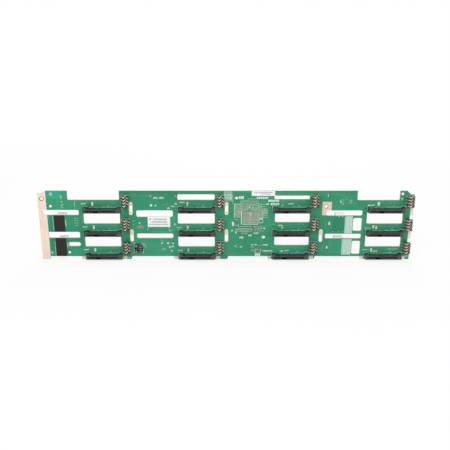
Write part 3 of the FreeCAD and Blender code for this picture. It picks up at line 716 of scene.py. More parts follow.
class Work:
    """A piece being made: shapes are added to one mesh, which then becomes an object."""

    def __init__(self, name: str, finish: Finish, slot: Slot, side: Side = Side.FRONT) -> None:
        """Starts an empty piece.

        Args:
            name: The piece's name.
            finish: Its finish.
            slot: The record's slot for it; it is kept but not used.
            side: The side of the board that it lies on.
        """
        self.name = name
        self.finish = finish
        self.slot = slot
        self.side = side
        self.mesh = bmesh.new()

    def lies(self, points: Sequence[Spot]) -> bool:
        """Tells whether an outline lies on the board all round."""
        return all(on_board(spot, self.side) for spot, _ in walk([*points, points[0]]))

    def loop(self, points: Sequence[Spot], y: float) -> list[bmesh.types.BMVert]:
        """Adds an outline's corners at one Y, in metres."""
        return [self.mesh.verts.new(PLACE.point(a, u, y)) for a, u in points]

    def close(self, faces: Iterable[list[bmesh.types.BMVert]]) -> None:
        """Adds faces that look outward on the front; behind, they are turned over."""
        for face in faces:
            self.mesh.faces.new(face if self.side is Side.FRONT else face[::-1])

    def stack(self, rings: Sequence[tuple[Sequence[Spot], float]]) -> None:
        """Joins outlines at rising heights into one closed solid, unless it would lie off the board.

        Args:
            rings: Outlines with as many points each, and the height of each above the board.
        """
        if not self.lies(rings[0][0]):
            return
        rows = [self.loop(ring, PLACE.level(self.side, height)) for ring, height in rings]
        self.close([rows[0][::-1], rows[-1]])
        for low, high in zip(rows, rows[1:]):
            self.close(quads(low, high))

    def plate(self, points: Sequence[Spot], thick: float = PRINT_THICK, lift: float = 0.0) -> None:
        """Adds a flat plate of any outline; thick and lift are in millimetres."""
        self.stack([(points, lift), (points, lift + thick)])

    def strip(self, profile: Sequence[Bend], foot: float, tall: float) -> None:
        """Adds a bent strip: a profile seen from above, carried up the board.

        Args:
            profile: Places across, each with its height above the board and how far the strip has risen.
            foot: The strip's foot.
            tall: Its width, up the board.
        """
        rows = [[self.mesh.verts.new(PLACE.point(a, up + rise, PLACE.level(self.side, height)))
                 for a, height, rise in profile] for up in (foot, foot + tall)]
        self.close([rows[0][::-1], rows[1], *quads(*rows)])

    def bar(self, left: float, foot: float, wide: float, tall: float, thick: float = PRINT_THICK,
            lift: float = 0.0) -> None:
        """Adds a flat rectangle."""
        self.plate(box_points(left, foot, wide, tall), thick, lift)

    def dot(self, middle: Spot, radius: float, steps: int = 16) -> None:
        """Adds a flat disc."""
        self.plate(circle_points(middle, radius, steps), PRINT_THICK)

    def ring(self, middle: Spot, outer: float, inner: float, lift: float = 0.0, steps: int = 16) -> None:
        """Adds a flat ring.

        Args:
            middle: Its middle.
            outer: Its outer radius.
            inner: Its inner radius.
            lift: Height of its underside above the board.
            steps: How many sides it gets.
        """
        if not self.lies(circle_points(middle, outer, steps)):
            return
        low, high = (PLACE.level(self.side, h) for h in (lift, lift + PRINT_THICK))
        loops = [self.loop(circle_points(middle, radius, steps), y)
                 for radius, y in ((outer, low), (outer, high), (inner, high), (inner, low))]
        for first, second in zip(loops, loops[1:] + loops[:1]):
            self.close(quads(first, second))

    def stretches(self, points: Sequence[Spot]) -> Iterator[list[Spot]]:
        """Splits a path where it leaves the board.

        Args:
            points: The places that it goes through.

        Yields:
            Each stretch that lies on the board.
        """
        run: list[Spot] = []
        last = None
        for spot, corner in walk(points):
            if not on_board(spot, self.side, 0.5):
                if last not in (None, run[-1] if run else None):
                    run.append(last)
                if len(run) > 1:
                    yield run
                run, last = [], None
                continue
            if corner or not run:
                run.append(spot)
            last = spot
        if len(run) > 1:
            yield run

    def line(self, points: Sequence[Spot], wide: float, thick: float = PRINT_THICK) -> None:
        """Adds a line of even width with mitred bends.

        Args:
            points: The places that it goes through.
            wide: Its width.
            thick: Its thickness.
        """
        left, right = [], []
        for here, across, narrow in bends_of(points):
            reach = wide / 2 / narrow
            left.append(tuple(here + across * reach))
            right.append(tuple(here - across * reach))
        self.plate(right + left[::-1], thick)

    def outline(self, left: float, foot: float, wide: float, tall: float, line: float) -> None:
        """Adds the four lines of a box.

        Args:
            left: Its left side.
            foot: Its foot.
            wide: Its width.
            tall: Its height.
            line: Width of the lines.
        """
        self.bar(left, foot, wide, line)
        self.bar(left, foot + tall - line, wide, line)
        self.bar(left, foot + line, line, tall - 2 * line)
        self.bar(left + wide - line, foot + line, line, tall - 2 * line)

    def tally(self, left: float, foot: float, wide: float, tall: float, strokes: int,
              share: float = STROKE_SHARE) -> None:
        """Adds a row of plain upright strokes, which stands in for a printed mark.

        Args:
            left: Its left side.
            foot: Its foot.
            wide: Its width.
            tall: Its height.
            strokes: How many strokes it has.
            share: How much of its place each stroke fills; a single one fills it all.
        """
        pitch = wide / strokes
        fill = share if strokes > 1 else 1
        for stroke in range(strokes):
            short = share < SOLID_SHARE and spread(left + 7 * stroke) > 0.6
            low = 0.22 * tall * short
            self.bar(left + stroke * pitch, foot + low, fill * pitch, tall - low)

    def brick(self, left: float, foot: float, wide: float, tall: float, high: float,
              soft: float = 0.08) -> None:
        """Adds a low block with softened top edges.

        Args:
            left: Its left side.
            foot: Its foot.
            wide: Its width.
            tall: Its height up the board.
            high: How far it stands out.
            soft: Size of the softened edge.
        """
        whole = box_points(left, foot, wide, tall)
        inner = box_points(left + soft, foot + soft, wide - 2 * soft, tall - 2 * soft)
        self.stack([(whole, 0.0), (whole, high - soft), (inner, high)])

    def done(self) -> bpy.types.Object:
        """Turns the shapes into an object that rides on the board.

        Returns:
            The object.
        """
        piece = add_mesh(self.name, self.mesh, self.finish)
        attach(piece, "root")
        log.info("%s: %d faces", self.name, len(piece.data.polygons))
        return piece


class BoardSkin:
    """Cuts thin sheets from the board's own face, so that copper stops at every edge, hole and slot."""

    def __init__(self, side: Side) -> None:
        """Keeps the flat faces of one side of the board.

        Args:
            side: The side.
        """
        self.side = side
        self.y = PLACE.level(side, 0)
        self.face = bmesh.new()
        self.face.from_mesh(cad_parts["board"].data)
        inner = [f for f in self.face.faces if any(abs(v.co.y - self.y) > 1e-6 for v in f.verts)]
        bmesh.ops.delete(self.face, geom=inner, context="FACES")
        bmesh.ops.remove_doubles(self.face, verts=self.face.verts, dist=1e-6)

    def cut(self, outline: Sequence[Spot]) -> bmesh.types.BMesh:
        """Cuts the board's face to an outline with no hollow corners.

        Args:
            outline: The outline's points, in order.

        Returns:
            The flat piece inside it.
        """
        piece = self.face.copy()
        spots = [PLACE.point(a, u, self.y) for a, u in outline]
        centre = sum(spots, Vector()) / len(spots)
        for here, there in zip(spots, spots[1:] + spots[:1]):
            way = (there - here).cross(Vector((0, 1, 0)))
            if way.dot(centre - here) > 0:
                way.negate()
            bmesh.ops.bisect_plane(piece, geom=piece.verts[:] + piece.edges[:] + piece.faces[:], dist=1e-8,
                                   plane_co=here, plane_no=way, clear_outer=True)
        return piece

    def sheet(self, name: str, finish: Finish, outlines: Iterable[Sequence[Spot]], thick: float) -> None:
        """Makes one thin sheet of all the parts of the face that lie in the outlines.

        Args:
            name: The piece's name.
            finish: Its finish.
            outlines: Outlines that don't overlap.
            thick: Its thickness in millimetres.
        """
        work = Work(name, finish, Slot.BOARD, self.side)
        flat = bpy.data.meshes.new(name + "_flat")
        for outline in outlines:
            piece = self.cut(outline)
            piece.to_mesh(flat)
            piece.free()
            work.mesh.from_mesh(flat)
        bpy.data.meshes.remove(flat)
        below = work.mesh.faces[:]
        made = bmesh.ops.extrude_face_region(work.mesh, geom=below, use_keep_orig=True)
        raised = [item for item in made["geom"] if isinstance(item, bmesh.types.BMVert)]
        bmesh.ops.translate(work.mesh, verts=raised, vec=(0, self.side.value * thick * MM, 0))
        bmesh.ops.recalc_face_normals(work.mesh, faces=work.mesh.faces[:])
        work.done()


def paint(node: str, finish: Finish) -> bpy.types.Object:
    """Gives a solid its finish.

    Args:
        node: The solid's name.
        finish: The finish.

    Returns:
        The solid's object.
    """
    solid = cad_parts[node]
    for slot in solid.material_slots:
        slot.material = finish.material
    return solid


def soften(solid: bpy.types.Object, width: float) -> None:
    """Rounds a moulded piece's sharp edges a little.

    Args:
        solid: The piece's object.
        width: Width of the rounding, in millimetres.
    """
    weld = solid.modifiers.new("close_seams", "WELD")
    weld.merge_threshold = SEAM * MM
    edge = solid.modifiers.new("soft_edges", "BEVEL")
    edge.width = width * MM
    edge.segments = 2
    edge.limit_method = "ANGLE"
    edge.angle_limit = math.radians(SHARP_ANGLE)
    edge.use_clamp_overlap = True


# ---------------------------------------------------------------- the board's sub-assemblies


@dataclass
class Lacquer:
    """The board itself: its lacquer, and the copper pours that show through it.

    Each area is its left side, foot, width and height.
    """

    pours: tuple[Box, ...] = (
        (27.4, 61.2, 8.0, 22.0), (21.0, 61.2, 6.4, 12.6), (35.4, 61.2, 15.5, 10.7), (33.5, 4.2, 15.0, 9.4),
        (122.0, 8.0, 20.0, 12.5), (268.0, 8.6, 42.0, 7.2), (334.6, 6.2, 14.6, 17.6),
        (120.5, 56.0, 10.0, 6.0), (365.5, 26.5, 9.0, 27.0), (100.2, 4.2, 6.0, 10.0),
        (402.0, 64.5, 9.5, 6.4), (180.0, 64.5, 20.0, 3.6), (48.5, 6.0, 45.5, 9.8), (52.0, 34.4, 42.0, 9.6),
        (374.5, 6.0, 46.0, 9.8), (108.0, 8.0, 14.0, 12.5))
    bright: Box = (10.6, 73.9, 16.8, 9.6)
    deep: tuple[Box, ...] = (
        (93.2, 80.8, 117.5, 2.2), (272.0, 80.8, 93.0, 2.2), (336.2, 33.6, 14.6, 17.4),
        (12.0, 4.4, 9.5, 50.0), (98.4, 21.5, 4.6, 13.0), (98.4, 49.5, 4.6, 13.0))
    thick: float = 0.02

    def dress(self) -> None:
        """Paints the board and lays the pours."""
        paint("board", MASK)
        front = BoardSkin(Side.FRONT)
        for name, finish, places in (("copper_pours", MASK_OVER_POUR, self.pours),
                                     ("bright_pour", MASK_BRIGHT, (self.bright,)),
                                     ("clear_areas", MASK_DEEP, self.deep)):
            front.sheet(name, finish, [box_points(*place) for place in places], self.thick)


@dataclass
class GroundCopper:
    """Bare copper that touches the server's frame: strip, screw pad, edge, tab and upright pads."""

    strip_wide: float = 8.8
    bleed: float = 0.7
    screw_pad: Box = (325.3, 59.4, 10.6, 10.5)
    screw_leg: Box = (325.3, 53.7, 5.1, 5.7)
    edge_feet: tuple[float, float] = (53.4, 25.2)
    edge_tall: tuple[float, float] = (8.9, 9.5)
    edge_left: float = 426.2
    tab_tall: float = 3.7
    tab_left: Spot = (-28.6, 6.3)
    tab_right: tuple[Spot, ...] = ((20.9, 4.9), (21.5, 5.1), (21.9, 5.6), (21.5, 4.9))
    upright: Spot = (4.2, 15.6)
    upright_inner: Spot = (3.3, 14.4)
    upright_offset: tuple[float, ...] = (32.6, 33.95, 34.9)
    upright_spots: tuple[tuple[int, float], ...] = ((1, 61.9), (2, 61.9), (1, 29.1), (2, 29.1), (3, 29.1))
    thick: float = 0.05

    def outlines(self) -> list[list[Spot]]:
        """Lists the outlines of the bare copper, the pad of the right mounting hole apart.

        Returns:
            The outlines.
        """
        found = [box_points(-1, -1, self.strip_wide + 1, 90)]
        for foot, tall in zip(self.edge_feet, self.edge_tall):
            found.append(box_points(self.edge_left, foot, 5, tall))
        for column in COLUMNS:
            middle = middle_of_column(column)
            for start, wide in (self.tab_left, self.tab_right[column - 1]):
                found.append(box_points(middle + start, -1, wide, self.tab_tall + 1))
        return found + self.uprights(self.upright_inner)

    def screw_ground(self) -> list[list[Spot]]:
        """Lists the outlines of the copper round the right mounting hole."""
        return [box_points(*self.screw_pad), box_points(*self.screw_leg)]

    def uprights(self, size: Spot) -> list[list[Spot]]:
        """Lists the outlines of the upright pads at a given width and height.

        Args:
            size: Width and height of each.

        Returns:
            The outlines.
        """
        return [obround_points((middle_of_column(column) + self.upright_offset[column - 1], up), *size)
                for column, up in self.upright_spots]

    def dress(self) -> None:
        """Lays the copper on both sides, and the lacquer's pale bleed along the strip and round the pads."""
        front = BoardSkin(Side.FRONT)
        front.sheet("ground_copper_front", COPPER, self.outlines(), self.thick)
        front.sheet("screw_ground_front", COPPER_SCREW_PAD, self.screw_ground(), self.thick)
        bleed = [box_points(self.strip_wide, -1, self.bleed, 90)] + self.uprights(self.upright)
        front.sheet("lacquer_bleed", COPPER_EDGE, bleed, 0.03)
        back = BoardSkin(Side.BACK)
        back.sheet("ground_copper_back", COPPER, self.outlines()[:1] + self.screw_ground(), self.thick)


@dataclass(frozen=True)
class PrintMark:
    """A printed mark beside a bay: place from the socket's middle and underside, size and strokes."""

    across: float
    up: float
    wide: float
    tall: float
    strokes: int


def mark_rows(*rows: Mark) -> tuple[PrintMark, ...]:
    """Turns rows of numbers into printed marks."""
    return tuple(PrintMark(*row) for row in rows)


@dataclass
class SocketPrint:
    """The print round the drive sockets and carrier blocks."""

    usual: tuple[PrintMark, ...] = mark_rows((-24.6, 8.9, 5.6, 1.5, 5), (-12.9, 7.0, 2.1, 4.6, 1))
    special: dict[str, tuple[PrintMark, ...]] = field(default_factory=lambda: {
        "r1c2": mark_rows((-19.8, 10.3, 5.8, 1.6, 5), (-11.9, 9.2, 2.2, 2.1, 1), (-11.8, 6.4, 1.8, 2.4, 2)),
        "r2c2": mark_rows((-23.4, 8.0, 5.8, 1.5, 5), (-12.0, 8.6, 2.2, 2.4, 1), (-12.0, 6.3, 2.0, 1.8, 2)),
        "r3c2": mark_rows((-23.0, 8.1, 6.0, 1.4, 5), (-11.6, 8.4, 2.2, 2.6, 2), (-11.4, 6.0, 2.0, 1.8, 2)),
        "r1c3": mark_rows((-11.6, 6.6, 5.0, 1.6, 5), (-3.2, 8.7, 6.4, 1.5, 6)),
        "r2c3": mark_rows((-14.3, 10.6, 5.2, 1.6, 5), (-10.3, 7.0, 2.0, 3.6, 2)),
        "r3c3": mark_rows((-11.2, 6.8, 4.0, 2.2, 3), (-6.0, 7.7, 5.6, 1.5, 5)),
        "r1c4": mark_rows((-19.9, 6.9, 8.2, 1.7, 6), (-9.2, 7.0, 2.7, 4.8, 1)),
        "r2c4": mark_rows((-22.2, 8.0, 7.4, 0.9, 7), (-13.0, 6.8, 2.1, 4.8, 1), (-9.6, 6.8, 2.1, 3.8, 1)),
        "r3c4": mark_rows((-23.0, 9.2, 8.0, 1.0, 7), (-13.4, 7.2, 2.0, 4.4, 1), (-10.3, 6.8, 5.4, 1.9, 4)),
    })
    mark_shift: tuple[float, ...] = (0.8, 0.15, -0.5, -1.15)
    line_shift: tuple[float, ...] = (0.7, 1.0, 2.4, 2.4)
    dot: Spot = (6.3, 7.1)
    dot_radius: float = 0.55
    line_left: float = -15.6
    line_right: float = 14.8
    line_up: float = 5.35
    line_wide: float = 0.45
    line_gap: float = 0.5
    pads_right: float = -3.1
    pads_below: float = 0.3
    pad_pitch: float = 1.27
    pad_size: Spot = (0.95, 0.8)
    pad_left_out: int = 3
    end_gap: float = 0.45
    end_foot: float = 0.4
    end_reach: float = 5.4
    end_wide: float = 0.34
    block_line: float = 0.35
    block_gap: float = 0.35
    block_side_line: float = 0.245
    edge_room: float = 0.1

    def dress(self) -> None:
        """Prints lines, marks and dots, and lays the solder pads above each socket."""
        ink = Work("socket_print", SILK, Slot.LABEL)
        pads = Work("socket_solder_pads", SOLDER_PINK, Slot.CONTACT)
        for bay in BAYS:
            m, u = bay.middle + self.mark_shift[bay.column - 1], bay.underside
            for mark in self.special.get(bay.name, self.usual):
                ink.tally(m + mark.across, u + mark.up, mark.wide, mark.tall, mark.strokes)
            m = bay.middle + self.line_shift[bay.column - 1]
            ink.dot((m + self.dot[0], u + self.dot[1]), self.dot_radius)
            ink.bar(m + self.pads_right + self.line_gap, u + self.line_up, self.line_right - self.pads_right,
                    self.line_wide)
            for pad in range(int((self.pads_right - self.line_left) / self.pad_pitch)):
                if pad != self.pad_left_out:
                    pads.bar(m + self.line_left + pad * self.pad_pitch, u + self.line_up - self.pads_below,
                             *self.pad_size)
            self.round_ends(ink, bay)
            self.round_block(ink, bay)
        ink.done()
        pads.done()

    def round_ends(self, ink: Work, bay: Bay) -> None:
        """Prints the short corner lines outside a socket's end posts.

        Args:
            ink: Piece that takes them.
            bay: The socket's bay.
        """
        socket = PLACE.reach("drive_socket_" + bay.name)
        top = socket.top + self.end_gap
        for edge, way in ((socket.left - self.end_gap, 1), (socket.right + self.end_gap, -1)):
            ink.line([(edge, socket.foot + self.end_foot), (edge, top), (edge + way * self.end_reach, top)],
                     self.end_wide)

    def round_block(self, ink: Work, bay: Bay) -> None:
        """Prints lines above, below and at the right of a carrier block.

        Args:
            ink: Piece that takes it.
            bay: The block's bay.
        """
        block = PLACE.reach("carrier_block_" + bay.name)
        gap, line = self.block_gap, self.block_line
        left, foot = block.left - gap, block.foot - gap
        board_right = (CAD_BOX[1][0] - PLACE.left) / MM
        wide = min(block.wide + 2 * gap, board_right - left - self.edge_room)
        tall = block.tall + 2 * gap
        ink.bar(left, foot + tall, wide, line)
        ink.bar(left, foot - line, wide, line)
        ink.bar(left + wide - self.block_side_line, foot, self.block_side_line, tall)


@dataclass
class DriveSockets:
    """The twelve moulded drive sockets and their contacts."""

    edge: float = 0.14

    def dress(self) -> None:
        """Finishes housings and contacts."""
        for bay in BAYS:
            soften(paint("drive_socket_" + bay.name, SOCKET_BLACK), self.edge)
            paint("drive_socket_contacts_" + bay.name, CONTACT_GOLD)


@dataclass(frozen=True)
class LeafRow:
    """The leaves along one side of a block: how they bend, and how far their tails reach in each column."""

    way: int
    count: int
    bends: tuple[Bend, ...]
    tails: tuple[float, ...]


@dataclass
class CarrierBlocks:
    """The twelve blocks of sprung leaves that meet the drive carriers, and their solder tails."""

    edge: float = 0.12
    leaf_pitch: float = 3.5
    leaf_wide: float = 1.4
    leaf_thick: float = 0.25
    left_row: LeafRow = LeafRow(
        1, 4, ((0.0, 0.0, 0.0), (0.0, 2.6, 0.0), (0.7, 3.8, 0.3), (1.95, 5.4, 0.9), (2.9, 6.6, 0.3),
               (3.55, 7.0, 0.0), (4.2, 6.9, 0.7), (5.8, 6.1, 2.3)), (1.3, 0.6, 0.3, 0.9))
    right_row: LeafRow = LeafRow(
        -1, 3, ((0.0, 0.0, 0.0), (0.0, 2.6, 0.0), (0.1, 4.6, 0.4), (0.6, 5.9, 1.0), (1.3, 6.5, 1.9),
                (1.9, 6.4, 2.5)), (0.0, 0.6, 0.8, 0.0))
    tail_wide: float = 1.0
    tail_high: float = 0.35

    def dress(self) -> None:
        """Finishes the blocks and adds their leaves and tails."""
        tails = Work("carrier_block_tails", PIN_TIN, Slot.TIN)
        for bay in BAYS:
            node = "carrier_block_" + bay.name
            soften(paint(node, BLOCK_BLACK), self.edge)
            block = PLACE.reach(node)
            leaves = Work("sprung_leaves_" + bay.name, LEAF_GOLD, Slot.CONTACT)
            for side, row in ((block.left, self.left_row), (block.right, self.right_row)):
                length = row.tails[bay.column - 1]
                for leaf in range(row.count):
                    up = (block.foot + block.top) / 2 + (leaf - (row.count - 1) / 2) * self.leaf_pitch
                    leaves.strip(self.profile(side, row), up - self.leaf_wide / 2, self.leaf_wide)
                    if length:
                        tails.brick(min(side, side - row.way * length), up - self.tail_wide / 2, length,
                                    self.tail_wide, self.tail_high)
            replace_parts(leaves.done(), "carrier_springs_" + bay.name)
        tails.done()

    def profile(self, side: float, row: LeafRow) -> list[Bend]:
        """Gives one leaf's outline as seen from above.

        Args:
            side: The block's side that the leaf stands at.
            row: The row that it stands in; its bends say how far in, how far out and how far up.

        Returns:
            Places across, each with its height above the board and its rise.
        """
        outer = [(side + row.way * a, h, r) for a, h, r in row.bends]
        inner = [(side + row.way * (a + self.leaf_thick * (a < 1)), h - self.leaf_thick * (h > 0), r)
                 for a, h, r in row.bends]
        points = outer + inner[::-1]
        return points if row.way > 0 else points[::-1]


@dataclass
class FanOut:
    """The front of the board below the expander chip: via rows, decoupling capacitors and print."""

    block: Box = (234.4, 43.6, 16.6, 14.6)
    rows: int = 5
    caps: int = 6
    spine: float = 2.3
    cap_wide: float = 0.85
    cap_end: float = 0.6
    body_high: float = 0.42
    end_high: float = 0.46
    pad_thick: float = 0.04
    outer: Box = (224.6, 50.7, 38.0, 17.6)
    clear_corner: Spot = (256, 62)
    via_pitch: float = 1.15
    via_size: Spot = (0.46, 0.14)
    via_share: float = 0.86
    bars: tuple[Box, ...] = (
        (224.3, 51.0, 0.5, 16.6), (231.6, 60.0, 0.4, 10.6), (253.9, 48.7, 3.0, 1.0), (245.4, 61.5, 0.5, 4.2),
        (241.2, 62.0, 1.2, 2.6))
    rungs: tuple[float, ...] = (51.0, 53.6, 56.2, 58.8, 61.4, 64.0, 66.6)
    left_rung: Spot = (224.8, 6.4)
    right_rung: Spot = (255.6, 7.4)
    upper_rung: float = 4.4
    upper_from: float = 60.0
    comb: Box = (233.0, 66.4, 0.55, 2.6)
    comb_pitch: float = 2.3
    teeth: int = 9
    frame_box: Box = (253.2, 44.6, 4.5, 6.1)

    def dress(self) -> None:
        """Adds the capacitor block, the field of vias round it and its printed lines."""
        self.capacitors()
        self.vias()
        self.print_lines()

    def capacitors(self) -> None:
        """Sets the rows of capacitors, each with a tinned end at top and foot."""
        bodies = Work("fan_out_capacitors", CERAMIC_GREY, Slot.CHIP)
        ends = Work("fan_out_capacitor_ends", PIN_TIN, Slot.TIN)
        pads = Work("fan_out_pads", VIA_TIN, Slot.TIN)
        left, foot, wide, tall = self.block
        row_tall = tall / self.rows
        half = (wide - self.spine) / 2
        pitch = half / self.caps
        for row in range(self.rows):
            up = foot + row * row_tall + 0.35
            for group in (left, left + half + self.spine):
                for cap in range(self.caps):
                    across = group + cap * pitch + (pitch - self.cap_wide) / 2
                    pads.bar(across - 0.12, up - 0.1, self.cap_wide + 0.24, row_tall - 0.5, self.pad_thick)
                    bodies.brick(across + 0.03, up + self.cap_end, self.cap_wide - 0.06, row_tall - 1.9,
                                 self.body_high, BODY_SOFT)
                    for end in (up + 0.05, up + row_tall - 1.35):
                        ends.brick(across, end, self.cap_wide, self.cap_end, self.end_high, END_SOFT)
            pads.bar(left + half + 0.35, up, self.spine - 0.7, row_tall - 0.55, 0.05)
        for work in (pads, bodies, ends):
            work.done()

    def vias(self) -> None:
        """Drills the field of small tinned rings round the block."""
        rings = Work("fan_out_vias", VIA_TIN, Slot.TIN)
        left, foot, wide, tall = self.outer
        for i in range(int(wide / self.via_pitch)):
            for j in range(int(tall / self.via_pitch)):
                across = left + (i + 0.5) * self.via_pitch
                up = foot + (j + 0.5) * self.via_pitch
                inside = (self.block[0] - 1.2 < across < self.block[0] + self.block[2] + 1.0
                          and up < self.block[1] + self.block[3] + 0.7)
                corner = across > self.clear_corner[0] and up > self.clear_corner[1]
                if not (inside or corner or spread(i * 31 + j * 7.7) > self.via_share):
                    rings.ring((across, up), *self.via_size, steps=10)
        rings.done()

    def print_lines(self) -> None:
        """Prints the lines and bars round the field."""
        ink = Work("fan_out_print", SILK, Slot.LABEL)
        left, foot, wide, tall = self.block
        for bar in ((left - 2.0, foot - 0.6, 1.0, tall + 2.0), (left - 0.6, foot - 1.0, wide + 1.6, 0.5),
                    (left + wide + 0.6, foot - 0.8, 0.5, tall), *self.bars):
            ink.bar(*bar)
        for up in self.rungs:
            ink.bar(self.left_rung[0], up, self.left_rung[1], 0.3)
            reach = self.upper_rung if up > self.upper_from else self.right_rung[1]
            ink.bar(self.right_rung[0], up, reach, 0.35)
        start, *tooth = self.comb
        for i in range(self.teeth):
            ink.bar(start + i * self.comb_pitch, *tooth)
        ink.outline(*self.frame_box, 0.5)
        ink.done()


@dataclass
class SmallParts:
    """Capacitors and resistors on the front: groups by left side, foot, columns, rows and pitches."""

    long: float = 1.6
    wide: float = 0.85
    high: float = 0.5
    body_high: float = 0.46
    cap: float = 0.36
    inset: float = 0.03
    line: float = 0.25
    upright: tuple[Group, ...] = (
        (229.4, 38.2, 9, 1, 1.7, 2.6), (247.0, 38.4, 6, 1, 1.75, 2.6), (226.0, 35.0, 12, 1, 1.65, 2.6),
        (247.4, 35.2, 7, 1, 1.7, 2.6), (233.4, 31.8, 4, 1, 1.8, 2.4), (244.0, 11.0, 2, 2, 2.2, 2.6),
        (148.2, 17.6, 3, 1, 2.3, 2.4), (112.4, 38.0, 4, 1, 2.0, 2.4), (356.0, 69.2, 2, 1, 1.8, 2.4))
    across: tuple[Group, ...] = (
        (224.8, 42.0, 2, 4, 2.6, 1.8), (233.0, 70.4, 3, 1, 3.2, 1.6), (240.0, 70.8, 5, 2, 2.6, 1.5),
        (252.2, 12.6, 2, 3, 2.6, 1.5), (140.8, 12.0, 2, 1, 2.4, 1.6), (347.6, 67.4, 1, 3, 2.4, 1.7),
        (227.4, 14.6, 1, 2, 2.4, 1.6), (128.2, 76.4, 1, 1, 2.4, 1.6), (148.6, 36.2, 1, 2, 2.4, 1.5))

    def dress(self) -> None:
        """Sets every group of parts."""
        bodies = Work("capacitor_bodies", CERAMIC, Slot.CHIP)
        glazed = Work("resistor_bodies", RESISTOR, Slot.CHIP)
        ends = Work("small_part_ends", PIN_TIN, Slot.TIN)
        ink = Work("small_part_print", SILK, Slot.LABEL)
        for number, group in enumerate(self.upright + self.across):
            upright = number < len(self.upright)
            body = bodies if number % 3 else glazed
            left, foot, columns, rows, step_across, step_up = group
            for column in range(columns):
                for row in range(rows):
                    self.part(body, ends, left + column * step_across, foot + row * step_up, upright)
            reach = ((columns - 1) * step_across + (self.wide if upright else self.long),
                     (rows - 1) * step_up + (self.long if upright else self.wide))
            for up in (foot - 0.55, foot + reach[1] + 0.3):
                ink.bar(left - 0.3, up, reach[0] + 0.6, self.line)
        for work in (bodies, glazed, ends, ink):
            work.done()

    def part(self, body: Work, ends: Work, left: float, foot: float, upright: bool) -> None:
        """Sets one part.

        Args:
            body: Piece that takes its body.
            ends: Piece that takes its tinned ends.
            left: Its left side.
            foot: Its foot.
            upright: Whether it stands up the board.
        """
        middle = (self.inset, self.cap, self.wide - 2 * self.inset, self.long - 2 * self.cap)
        low_end = (0.0, 0.0, self.wide, self.cap)
        high_end = (0.0, self.long - self.cap, self.wide, self.cap)
        for piece, (a, u, wide, tall), high, soft in ((body, middle, self.body_high, BODY_SOFT),
                                                      (ends, low_end, self.high, END_SOFT),
                                                      (ends, high_end, self.high, END_SOFT)):
            if upright:
                piece.brick(left + a, foot + u, wide, tall, high, soft)
            else:
                piece.brick(left + u, foot + a, tall, wide, high, soft)


